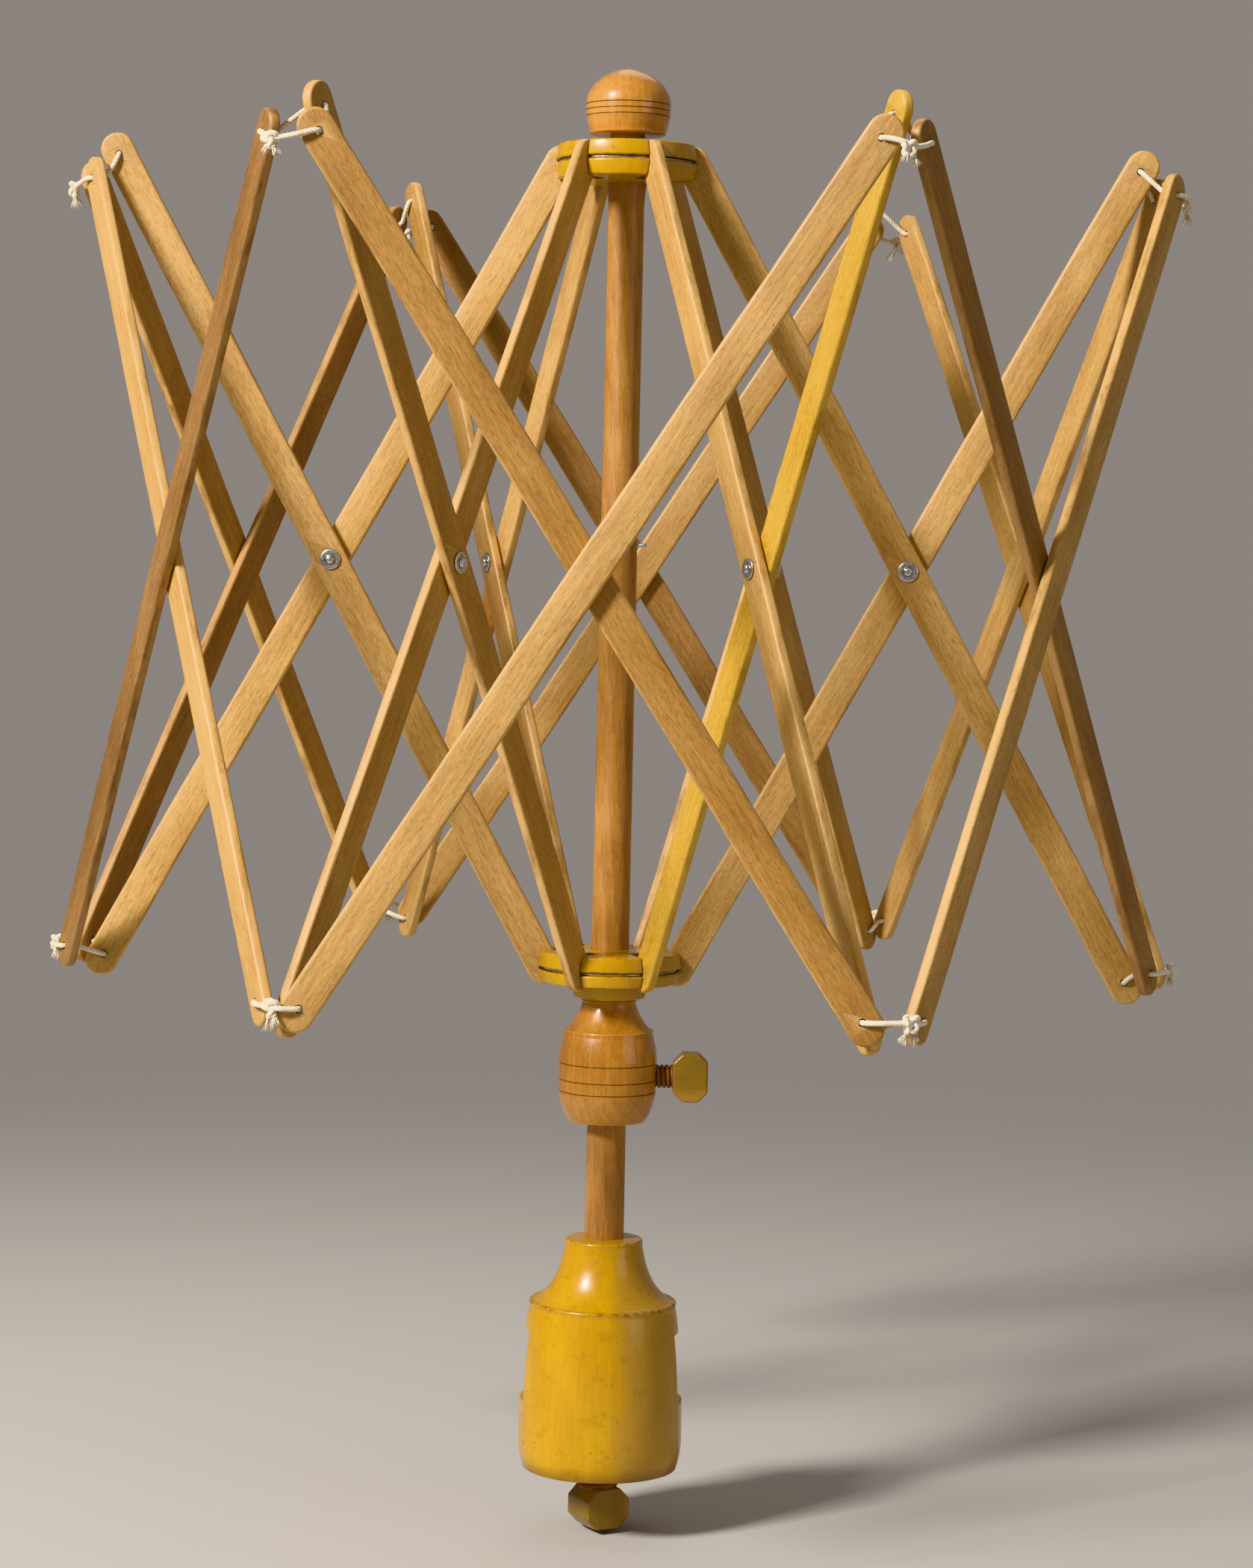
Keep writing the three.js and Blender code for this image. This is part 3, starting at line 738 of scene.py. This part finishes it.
def make_wire_ring(name):
    """The wire ring that a hub's arms turn on, bent a little out of true."""
    low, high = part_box(name)
    middle = (low.z + high.z) / 2
    radius = (high.x - low.x - high.z + low.z) / 2
    thick = 0.95 * (high.z - low.z) / 2
    segments, sides = 160, 10
    vertices, faces = [], []
    for k in range(segments):
        angle = 2 * math.pi * k / segments
        out = radius + 0.12 * MM * math.sin(3 * angle + 1.0)
        z = middle + 0.16 * MM * math.sin(2 * angle + 0.4)
        n = (k + 1) % segments
        for j in range(sides):
            round_wire = 2 * math.pi * j / sides
            r = out + thick * math.cos(round_wire)
            vertices.append((r * math.cos(angle), r * math.sin(angle), z + thick * math.sin(round_wire)))
            m = (j + 1) % sides
            faces.append((k * sides + j, n * sides + j, n * sides + m, k * sides + m))
    ring = make_piece(f"{name}_ring", vertices, faces, "steel")
    stand_for(ring, name, name.removesuffix("_wire"))


# ---------------------------------------------------------------- collar and screws


def make_collar():
    """A turned sleeve with a neck, a soft shoulder, three scored rings and a hole for the thumbscrew."""
    top, floor = node_top("collar"), node_floor("collar")
    height = top - floor
    bore = SHAFT_RADIUS + SLIDING_GAP
    neck = [(17.9, -12.6), (16.6, -11.2), (14.7, -8.6), (13.1, -5.8), (11.9, -3.0), (11.4, -0.9)]
    outline = [
        *line((bore, -20)),
        *rounded_corner((bore, -20), (bore, -height), (15, -height), 0.5),
        *rounded_corner((12, -height), (16.6, -height), (17.2, 1.6 - height), 0.9),
        *curve_through([(17.2, 1.1 - height), (18.2, -48.2), (19.6, -44.4), (20.55, -40.6)], 6),
        *scored_line(20.72, -38.5),
        *scored_line(20.86, -33.5),
        *scored_line(20.88, -26.5),
        *curve_through([(20.86, -24.8), (20.5, -21.0), (19.75, -17.2), (18.9, -14.2)], 6),
        *rounded_corner((18.9, -14.2), (18.55, -13.0), (17.4, -12.2), 0.5),
        *curve_through(neck, 6),
        *rounded_corner((11.4, -1), (11.3, 0), (9, 0), 0.5),
        *rounded_corner((11, 0), (bore, 0), (bore, -5), 0.3),
    ]
    collar = turn("collar_turned", lifted(outline, top), "amber_wood", segments=112, closed=True, seed=0.62)
    low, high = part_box("thumbscrew_thread")
    centre = Vector((25 * MM, 0, (low.z + high.z) / 2))
    radius = (high.z - low.z) / 2 / MM + BORE_GAP
    hole = cutting_rod(radius, 34, Matrix.Translation(centre) @ along((1, 0, 0)))
    cut_away(collar, [hole])
    stand_for(sharpen(collar, 50), "collar", "collar")


def end_on(node, direction):
    """A round node's matrix, with Z along it from its near end, and its radius and length."""
    low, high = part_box(node)
    direction = Vector(direction)
    length = abs((high - low).dot(direction))
    radius = (high.z - low.z if direction.x else high.x - low.x) / 2
    start = (low + high) / 2 - direction * length / 2
    return Matrix.Translation(start) @ along(direction), radius / MM, length / MM


def make_thread(node, direction, pitch, depth):
    """A wooden screw thread with tapered ends. pitch and depth are in millimetres."""
    matrix, radius, length = end_on(node, direction)
    sides, per_turn, end_taper = 48, 12, 1.2
    rows = int(length / pitch * per_turn) + 1
    vertices, darks = [(0, 0, 0)], [0.0]
    for row in range(rows):
        z = length * row / (rows - 1)
        taper = min(1.0, z / end_taper, (length - z) / end_taper)
        for k in range(sides):
            phase = (z / pitch - k / sides) % 1.0
            ridge = min(1.0, 1.9 * (1 - abs(2 * phase - 1)))
            r = radius - depth * (1 - ridge) - 0.5 * (1 - taper)
            angle = 2 * math.pi * k / sides
            vertices.append((r * math.cos(angle) * MM, r * math.sin(angle) * MM, z * MM))
            # Painted shade: the thread's valleys are marked dark.
            darks.append(1 - ridge)
    vertices.append((0, 0, length * MM))
    darks.append(0.0)
    last = len(vertices) - 1
    faces = [(0, 1 + (k + 1) % sides, 1 + k) for k in range(sides)] + skin(rows, sides, 1)
    faces += [(last - sides + k, last - sides + (k + 1) % sides, last) for k in range(sides)]
    thread = make_piece(f"{node}_cut", vertices, faces, "screw_wood", dark=darks)
    thread.matrix_world = matrix
    stand_for(sharpen(thread, 60), node, node.removesuffix("_thread"))


def make_tip(node, direction, radius):
    """A screw's plain round tip. radius is in millimetres."""
    matrix, _, length = end_on(node, direction)
    outline = [
        *line((0, 0)),
        *rounded_corner((0, 0), (radius, 0), (radius, length), 0.5),
        *rounded_corner((radius, 0), (radius, length), (0, length), 0.7),
        *line((0, length)),
    ]
    tip = turn(f"{node}_turned", outline, "screw_wood", segments=40)
    tip.matrix_world = matrix
    stand_for(sharpen(tip), node, node)


def make_head(node, matrix, width, depth, height):
    """A flat thumb head with cut corners: width along X, depth along Y and height along Z."""
    name = f"{node}_shaped"
    rounding, narrowed = 0.9, 0.97
    corner = 0.27 * height
    half, rise = width / 2, height / 2
    side = [(-half, corner - rise), (corner - half, -rise), (half - corner, -rise), (half, corner - rise)]
    side += [(x, -z) for x, z in reversed(side)]
    work = bmesh.new()
    layers = []
    for y, shrink in [(-depth / 2, narrowed), (-depth / 6, 1.0), (depth / 6, 1.0), (depth / 2, narrowed)]:
        layers.append([work.verts.new((x * shrink * MM, y * MM, z * shrink * MM)) for x, z in side])
    count = len(side)
    for front, back in zip(layers, layers[1:]):
        for k in range(count):
            work.faces.new((front[k], front[(k + 1) % count], back[(k + 1) % count], back[k]))
    work.faces.new(list(reversed(layers[0])))
    work.faces.new(layers[-1])
    bmesh.ops.recalc_face_normals(work, faces=work.faces)
    rims = [e for e in work.edges if len(e.link_faces) == 2 and e.calc_face_angle() > 0.35]
    bmesh.ops.bevel(work, geom=rims, offset=rounding * MM, segments=4, profile=0.6, affect="EDGES")
    bmesh.ops.triangulate(work, faces=[f for f in work.faces if len(f.verts) > 4])
    mesh = bpy.data.meshes.new(name)
    work.to_mesh(mesh)
    work.free()
    points = np.array([v.co for v in mesh.vertices]) / MM
    rim = np.maximum(np.abs(points[:, 1]) - (depth / 2 - rounding), 0) / rounding
    wear = np.clip(1 - np.abs(rim - 0.45) / 0.45, 0, 1)
    polygons = [tuple(p.vertices) for p in mesh.polygons]
    head = make_piece(name, points * MM, polygons, "olive_paint", wear=wear, seed=len(name))
    bpy.data.meshes.remove(mesh)
    head.matrix_world = matrix
    stand_for(sharpen(head, 45), node, node.removesuffix("_head"))


def make_thumbscrew():
    """The collar's screw, along +X from the shaft to its head."""
    outward = (1, 0, 0)
    make_tip("thumbscrew_tip", outward, 4.0)
    make_thread("thumbscrew_thread", outward, pitch=2.0, depth=1.05)
    low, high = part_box("thumbscrew_head")
    size = (high - low) / MM
    middle = Matrix.Translation((low + high) / 2) @ Matrix.Rotation(math.pi / 2, 4, "Y")
    make_head("thumbscrew_head", middle, size.z, size.y, size.x)


def make_clamp_screw():
    """The clamp's screw, along -Z from the table's underside to its head."""
    down = (0, 0, -1)
    make_tip("clamp_screw_tip", down, 7.1)
    make_thread("clamp_screw_thread", down, pitch=4.0, depth=1.5)
    turned_by = math.radians(30)
    straight = Matrix.Rotation(-turned_by, 3, "Z")
    points = np.array([straight @ v.co for v in frame["nodes"]["clamp_screw_head"].data.vertices])
    middle = Matrix.Translation((0, 0, (points[:, 2].max() + points[:, 2].min()) / 2))
    size = (points.max(0) - points.min(0)) / MM
    make_head("clamp_screw_head", middle @ Matrix.Rotation(turned_by, 4, "Z"), *size)


# ---------------------------------------------------------------- bars

ARM_TONES = {"upper": (0.1, -0.5, -0.2, 0.5, -0.3, 0.4), "lower": (0.2, -0.4, -0.6, 0.1, -0.5, 0.6)}
SLAT_TONES = {"inner": (-0.1, -0.5, 0.3, 0.5, -0.9, -0.2), "outer": (-0.3, 0.1, -0.6, -0.6, 0.2, -0.2)}
DARK_SLATS = ("outer_slat_4", "inner_slat_6", "outer_slat_2", "inner_slat_3")
YELLOW_ARM = "lower_arm_6"
CHIPPED_ARM = "upper_arm_3"
CHIP_PAST_RIVET = 22
CHIP_REACH = 16
SEED_RANGE = 60
BOWS = ((0.22, 61, 1), (0.10, 17, 2))  # a bar's waves: height, length over 2 pi, and seeds of phase
END_OVERHANG = 9.5  # of a face slat past its holes, in millimetres
HUB_HOLE_R = 1.5
RIVET_HOLE_R = 1.8
CORD_HOLE_R = 1.65
EDGE_R = 1.25
EDGE_STEPS = 4
END_STEPS = 14
SIDE_STEPS = 34


def bar_axes(node):
    """A CAD bar's middle, its directions lengthwise and through, and its length, width and thickness."""
    points = np.array([v.co for v in frame["nodes"][node].data.vertices])
    centre = (points.max(0) + points.min(0)) / 2
    _, _, axes = np.linalg.svd(points - points.mean(0), full_matrices=False)
    spans = points @ axes.T
    return Vector(centre), Vector(axes[0]), Vector(axes[2]), *(spans.max(0) - spans.min(0))


def upper_hole(node):
    """Where a face slat's upper hole lies, on the slat's middle plane."""
    centre, lengthwise, _, length, _, _ = bar_axes(node)
    if lengthwise.z < 0:
        lengthwise.negate()
    return centre + lengthwise * (length / 2 - END_OVERHANG * MM)


def bar_frame(node, first_hole, outside):
    """The bar's matrix, with X from its first hole along it and Z towards outside.

    The bar's length, width, thickness and reach past its first hole follow, in millimetres.
    """
    centre, lengthwise, through, length, width, thick = bar_axes(node)
    if lengthwise.dot(centre - first_hole) < 0:
        lengthwise.negate()
    if through.dot(outside) < 0:
        through.negate()
    origin = first_hole + through * (centre - first_hole).dot(through)
    rotation = Matrix((lengthwise, through.cross(lengthwise), through)).transposed().to_4x4()
    overhang = length / 2 - (centre - first_hole).dot(lengthwise)
    return Matrix.Translation(origin) @ rotation, length / MM, width / MM, thick / MM, overhang / MM


def bar_outline(start, end, half, inset):
    """Points round a bar with round ends, in millimetres, moved inward by inset."""
    r = half - inset
    near, far = start + half, end - half
    points = []
    for centre, other, turned, y in ((far, near, -0.5, r), (near, far, 0.5, -r)):
        for k in range(END_STEPS):
            angle = math.pi * (turned + k / END_STEPS)
            points.append((centre + r * math.cos(angle), r * math.sin(angle)))
        for k in range(SIDE_STEPS):
            points.append((centre + (other - centre) * k / SIDE_STEPS, y))
    return points


def bar_mesh(start, end, width, thick):
    """A flat bar with rounded edges: vertices and faces, in millimetres."""
    turns = [math.pi / 2 * k / EDGE_STEPS for k in range(EDGE_STEPS + 1)]
    upper = [(EDGE_R * (1 - math.sin(a)), thick / 2 - EDGE_R * (1 - math.cos(a))) for a in turns]
    rings = [*[(inset, -height) for inset, height in upper], *reversed(upper)]
    vertices = []
    for inset, height in rings:
        vertices += [(x, y, height) for x, y in bar_outline(start, end, width / 2, inset)]
    count = len(vertices) // len(rings)
    faces = skin(len(rings), count)
    # The outline is the same above and below its middle line, so a cap is rows of quads between them.
    leftmost = count - SIDE_STEPS - END_STEPS // 2
    for base, order in ((0, -1), (len(vertices) - count, 1)):
        for k in range(leftmost, leftmost + count // 2 - 1):
            across = 2 * leftmost - k
            quad = [base + q % count for q in (k, k + 1, across - 2, across - 1)]
            faces.append(tuple(quad[::order]))
    return vertices, faces


def make_bar(node, material, first_hole, outside, holes, tone, chip_place=None):
    """A wooden bar in the place of a CAD bar, and its matrix.

    holes are (distance from the first hole, radius), and chip_place is such a distance, in millimetres.
    """
    matrix, length, width, thick, overhang = bar_frame(node, first_hole, outside)
    planed_width, planed_thick, worn = 0.1, 0.06, 0.55 * EDGE_R
    vertices, faces = bar_mesh(-overhang, length - overhang, width - planed_width, thick - planed_thick)
    points = np.array(vertices)
    wear = np.clip((thick / 2 - np.abs(points[:, 2])) / worn, 0, 1)
    chip = 0.0
    if chip_place:
        chip = np.clip(1.4 - np.abs(points[:, 0] - chip_place) / CHIP_REACH, 0, 1) * (points[:, 1] > 0)
    seed = chance.uniform(0, SEED_RANGE)
    for height, stretch, turns in BOWS:
        points[:, 1] += height * np.sin(points[:, 0] / stretch + turns * seed)
    bar = make_piece(f"{node}_bar", points * MM, faces, material, wear=wear, seed=seed, tone=tone, chip=chip)
    places = [(Matrix.Translation((at * MM, 0, 0)), radius) for at, radius in holes]
    cut_away(bar, [cutting_rod(radius, 3 * thick, place, sides=24) for place, radius in places])
    bar.matrix_world = matrix
    stand_for(sharpen(bar), node, node)
    return matrix


def make_arms():
    for spoke in SPOKES:
        rivet = joint_place(f"lower_arm_{spoke}_swing")
        outward = spoke_direction(spoke)
        for kind, corner, side in (("upper", "bottom", -1), ("lower", "top", 1)):
            first = joint_place(f"{corner}_tie_{spoke}_turn")
            reach = (rivet - first).length / MM
            holes = [(0, CORD_HOLE_R), (reach, RIVET_HOLE_R), (2 * reach, HUB_HOLE_R)]
            node = f"{kind}_arm_{spoke}"
            wood = "yellow_slat_wood" if node == YELLOW_ARM else "slat_wood"
            chip_place = reach - CHIP_PAST_RIVET if node == CHIPPED_ARM else None
            outside = UP.cross(outward) * side
            tone = ARM_TONES[kind][spoke - 1]
            make_bar(node, wood, first, outside, holes, tone, chip_place)


def make_face_slats():
    """Returns the places of each face slat's two holes and its outward normal, by slat name."""
    holes_of = {}
    for kind in ("inner", "outer"):
        for number in SPOKES:
            node = f"{kind}_slat_{number}"
            first = upper_hole(node)
            outside = Vector(joints[f"{node}_swing"]["axis"]) * (1 if kind == "inner" else -1)
            _, length, _, _, overhang = bar_frame(node, first, outside)
            span = length - 2 * overhang
            wood = "dark_slat_wood" if node in DARK_SLATS else "slat_wood"
            holes = [(0, CORD_HOLE_R), (span, CORD_HOLE_R)]
            matrix = make_bar(node, wood, first, outside, holes, SLAT_TONES[kind][number - 1])
            holes_of[node] = matrix.translation, matrix @ Vector((span * MM, 0, 0)), outside
    return holes_of


def make_rivets():
    """An eyelet rivet through each pair of arms: two washers, a rolled lip and a domed middle."""
    face = 4.98
    # The dark values are painted shade round the hole, at the lip's foot and in the crease between lip and
    # dome.
    raised = [
        *[(1.5, -0.1, 0, 0.4), (1.5, 0, 0, 0.6), (3.9, 0, 0, 0.5), (4.3, 0.12, 0, 0.2)],
        *line((4.35, 0.36), (4.2, 0.56), (3.7, 0.66)),
        *[(2.55, 0.62, 0, 0.15), (2.15, 0.52, 0, 0.9), (1.98, 0.62, 0, 0.6)],
        *line((1.9, 1.1), (1.72, 1.5), (1.3, 1.82), (0.7, 1.97), (0.0, 2.0)),
    ]
    half = lifted(raised, face)
    outline = [(r, -z, wear, dark) for r, z, wear, dark in reversed(half)] + half
    for spoke in SPOKES:
        node = f"arm_rivet_{spoke}"
        low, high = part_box(node)
        rivet = turn(f"{node}_pressed", outline, "aluminium", segments=48, seed=1.7 * spoke)
        rivet.matrix_world = Matrix.Translation((low + high) / 2) @ along(UP.cross(spoke_direction(spoke)))
        stand_for(sharpen(rivet, 50), node, f"upper_arm_{spoke}")


# ---------------------------------------------------------------- cord ties

CORD_R = 1.05
CORD_SIDES = 18
TWIST = 5.2
STEP = 0.42
FRONT_SPOKES = (5, 6)
FIBRE_R = 0.15
FIBRES = 34
KNOT_SIZE = 2.6
KNOT_CORD_R = 1.15
KNOT_OUT = 20
KNOT_RISE = {"top": -14.5, "bottom": 5.0}
FRONT_SLIDE, SLIDE = 4.6, 1.6
FRAY_SPREAD = 0.42
SLAT_HALF = 2.25
ARM_INNER, ARM_OUTER = 0.2, 4.7  # how far an arm's two sides lie from its spoke's line


def smooth_route(points):
    """A smooth line through points, in metres, with even steps."""
    points = [Vector(p) for p in points]
    points = [2 * points[0] - points[1], *points, 2 * points[-1] - points[-2]]
    dense = []
    for a, b, c, d in zip(points, points[1:], points[2:], points[3:]):
        knots = [0.0]
        for p, q in ((a, b), (b, c), (c, d)):
            knots.append(knots[-1] + math.sqrt(max((q - p).length, 1e-9)))
        for k in range(24):
            t = knots[1] + (knots[2] - knots[1]) * k / 24
            near = zip((a, b, c), (b, c, d), knots, knots[1:])
            near = [p.lerp(q, (t - u) / (v - u)) for p, q, u, v in near]
            far = [p.lerp(q, (t - u) / (v - u)) for p, q, u, v in zip(near, near[1:], knots, knots[2:])]
            dense.append(far[0].lerp(far[1], (t - knots[1]) / (knots[2] - knots[1])))
    dense.append(points[-2])
    lengths = np.concatenate([[0], np.cumsum([(q - p).length for p, q in zip(dense, dense[1:])])])
    wanted = np.linspace(0, lengths[-1], max(4, int(lengths[-1] / (STEP * MM))))
    even = [np.interp(wanted, lengths, coordinates) for coordinates in np.array(dense).T]
    return [Vector(point) for point in zip(*even)]


def heading_at(route, k):
    return (route[min(k + 1, len(route) - 1)] - route[max(k - 1, 0)]).normalized()


def cord_mesh(route, radius=CORD_R, taper=1.0):
    """A three-strand twisted cord along a route: vertices, faces and how deep each point lies, as painted
    shade.
    """
    tangent = (route[1] - route[0]).normalized()
    normal = tangent.orthogonal().normalized()
    vertices, darks = [], []
    travelled = 0.0
    for k, point in enumerate(route):
        new_tangent = heading_at(route, k)
        normal = tangent.rotation_difference(new_tangent) @ normal
        normal = (normal - normal.project(new_tangent)).normalized()
        tangent = new_tangent
        side = tangent.cross(normal)
        if k:
            travelled += (point - route[k - 1]).length / MM
        size = radius * (1 + (taper - 1) * k / (len(route) - 1))
        for j in range(CORD_SIDES):
            angle = 2 * math.pi * j / CORD_SIDES
            lobe = abs(math.cos(1.5 * (angle - 2 * math.pi * travelled / TWIST)))
            r = size * (0.80 + 0.24 * lobe**0.7) * MM
            vertices.append(point + (normal * math.cos(angle) + side * math.sin(angle)) * r)
            # Painted shade between the strands.
            darks.append((1 - lobe) ** 2)
    return vertices, capped_skin(len(route), CORD_SIDES), darks


def fibre_mesh(route):
    """One thin fibre along a route of a few points, thinner towards its end."""
    vertices = []
    for k, point in enumerate(route):
        ahead = heading_at(route, k)
        normal = ahead.orthogonal().normalized()
        side = ahead.cross(normal)
        r = FIBRE_R * (1 - 0.45 * k / (len(route) - 1)) * MM
        vertices += [point + ray * r for ray in (normal, side, -normal, -side)]
    return vertices, capped_skin(len(route), 4)


def frayed_end(start, direction, length):
    """A brush of fibres where a cord's cut end has come undone."""
    made = []
    for _ in range(FIBRES):
        out = Vector([chance.gauss(0, 1) for _ in range(3)])
        out = (out - out.project(direction)).normalized()
        begin = start + out * CORD_R * MM * chance.uniform(0.1, 0.8)
        lean = FRAY_SPREAD * chance.uniform(0.3, 1.2)
        reach = length * chance.uniform(0.7, 1.1) * MM
        curl = Vector([chance.gauss(0, 0.10) for _ in range(3)])
        route = []
        for t in (0, 0.2, 0.4, 0.6, 0.8, 1):
            bend = out * lean * t**1.3 + curl * t * (1 - t) * 2 - UP * 0.12 * t * t
            route.append(begin + (direction * t + bend) * reach)
        made.append(fibre_mesh(route))
    return made


def knot_route(centre, outward):
    """A tight overhand knot: a trefoil, seen from outside."""
    across = UP.cross(outward).normalized()
    route = []
    for k in range(13):
        t = 2 * math.pi * (k + 0.4) / 12.6
        x = 1.15 / 3 * (math.sin(t) + 2 * math.sin(2 * t))
        y = 1.15 / 3 * (math.cos(t) - 2 * math.cos(2 * t))
        z = -0.52 * math.sin(3 * t)
        route.append(centre + (across * x + UP * y + outward * z) * KNOT_SIZE * MM)
    return route


class MeshSum:
    """Several meshes gathered into one."""

    def __init__(self):
        self.vertices, self.faces, self.darks = [], [], []

    def add(self, vertices, faces, darks=None):
        start = len(self.vertices)
        self.vertices += vertices
        self.faces += [tuple(start + v for v in face) for face in faces]
        self.darks += darks or [0.1] * len(vertices)


def make_tie(corner, spoke, holes, slid, tail_lengths):
    """A cord through an arm's hole and two slats' holes, knotted outside them, with frayed tails.

    holes are (place, outward normal) of the inner and the outer layer's slat. slid is how far the knot
    has slid towards the outer layer's slat.
    """
    outward = spoke_direction(spoke)
    handed = 1 if corner == "top" else -1
    aside = UP.cross(outward) * handed
    arm_hole = joint_place(f"{corner}_tie_{spoke}_turn")
    knot = arm_hole + (outward * KNOT_OUT + UP * KNOT_RISE[corner] - aside * slid) * MM

    def at_hole(number, out, aside_by=0.0, rise=0.0):
        """A point out from a slat's middle at its hole, and aside_by along the face from the spoke."""
        place, normal = holes[number]
        along_face = UP.cross(normal) * handed * (1, -1)[number]
        return place + (normal * out + along_face * aside_by + UP * rise) * MM

    drops = [(place - arm_hole).z / MM for place, _ in holes]
    towards_knot = [(KNOT_RISE[corner] - drop) / 2 for drop in drops]
    route = [
        knot + aside * MM,
        at_hole(0, SLAT_HALF + 2.3, -8, towards_knot[0]),
        at_hole(0, SLAT_HALF + 1.4, -2, 0.1 * towards_knot[0]),
        at_hole(0, SLAT_HALF + 0.3),
        at_hole(0, -SLAT_HALF - 0.4),
        at_hole(0, -SLAT_HALF - 1.7, -0.8, -0.1 * drops[0]),
        arm_hole + (outward * 2.2 + aside * (ARM_OUTER + 1.9) + UP * 0.5 * drops[0]) * MM,
        arm_hole + (outward * 0.3 + aside * (ARM_OUTER + 1.2) + UP * 0.12 * drops[0]) * MM,
        arm_hole + aside * (ARM_OUTER + 0.2) * MM,
        arm_hole + aside * (ARM_INNER - 0.3) * MM,
        arm_hole + (outward * 1.2 - aside * 2.2 + UP * 0.12 * drops[1]) * MM,
        at_hole(1, -SLAT_HALF - 1.6, -0.8, -0.08 * drops[1]),
        at_hole(1, -SLAT_HALF - 0.4),
        at_hole(1, SLAT_HALF + 0.3),
        at_hole(1, SLAT_HALF + 1.4, -2, 0.1 * towards_knot[1]),
        at_hole(1, SLAT_HALF + 2.3, -8, towards_knot[1]),
        knot - aside * MM,
    ]
    whole = MeshSum()
    whole.add(*cord_mesh(smooth_route(route)))
    whole.add(*cord_mesh(smooth_route(knot_route(knot, outward)), radius=KNOT_CORD_R))
    for side, length in zip((1, -1), tail_lengths):
        swing = chance.uniform(0.35, 0.95) * side
        heading = (aside * swing + outward * chance.uniform(-0.15, 0.2) - UP).normalized()
        begin = knot + heading * 1.2 * MM
        bend = aside * chance.uniform(-0.8, 0.8) * MM
        finish_at = begin + heading * length * 0.5 * MM + bend
        tail = [begin, begin + heading * length * 0.28 * MM + bend * 0.4, finish_at]
        whole.add(*cord_mesh(smooth_route(tail), taper=1.15))
        brush = (finish_at - tail[1]).normalized()
        for fibre in frayed_end(finish_at - brush * 0.5 * MM, brush, length * 0.62):
            whole.add(*fibre)
    node = f"{corner}_tie_{spoke}"
    cord = make_piece(f"{node}_cord", whole.vertices, whole.faces, "cotton", dark=whole.darks, seed=spoke)
    stand_for(cord, node, node)


def make_ties(holes_of):
    """A top corner's slats are the inner one that starts there and the outer one of the face before."""
    for spoke in SPOKES:
        before = (spoke - 2) % 6 + 1
        for corner, inner, outer in (("top", spoke, before), ("bottom", before, spoke)):
            end = 0 if corner == "top" else 1
            slats = holes_of[f"inner_slat_{inner}"], holes_of[f"outer_slat_{outer}"]
            tails = chance.uniform(5.0, 8.0), chance.uniform(4.0, 7.0)
            slid = FRONT_SLIDE if spoke in FRONT_SPOKES else SLIDE
            make_tie(corner, spoke, [(slat[end], slat[2]) for slat in slats], slid, tails)


# ---------------------------------------------------------------- the whole

make_camera()
make_studio()
make_floor()

make_clamp_body()
make_shaft()
make_knob()
make_stop_pin()
make_hub("upper_hub", SPINDLE_RADIUS + BORE_GAP, -1, 0.0, 5.0)
make_hub("lower_hub", SHAFT_RADIUS + SLIDING_GAP, 1, 6.8, 9.0)
make_wire_ring("upper_hub_wire")
make_wire_ring("lower_hub_wire")
make_collar()
make_thumbscrew()
make_clamp_screw()
make_arms()
make_ties(make_face_slats())
make_rivets()
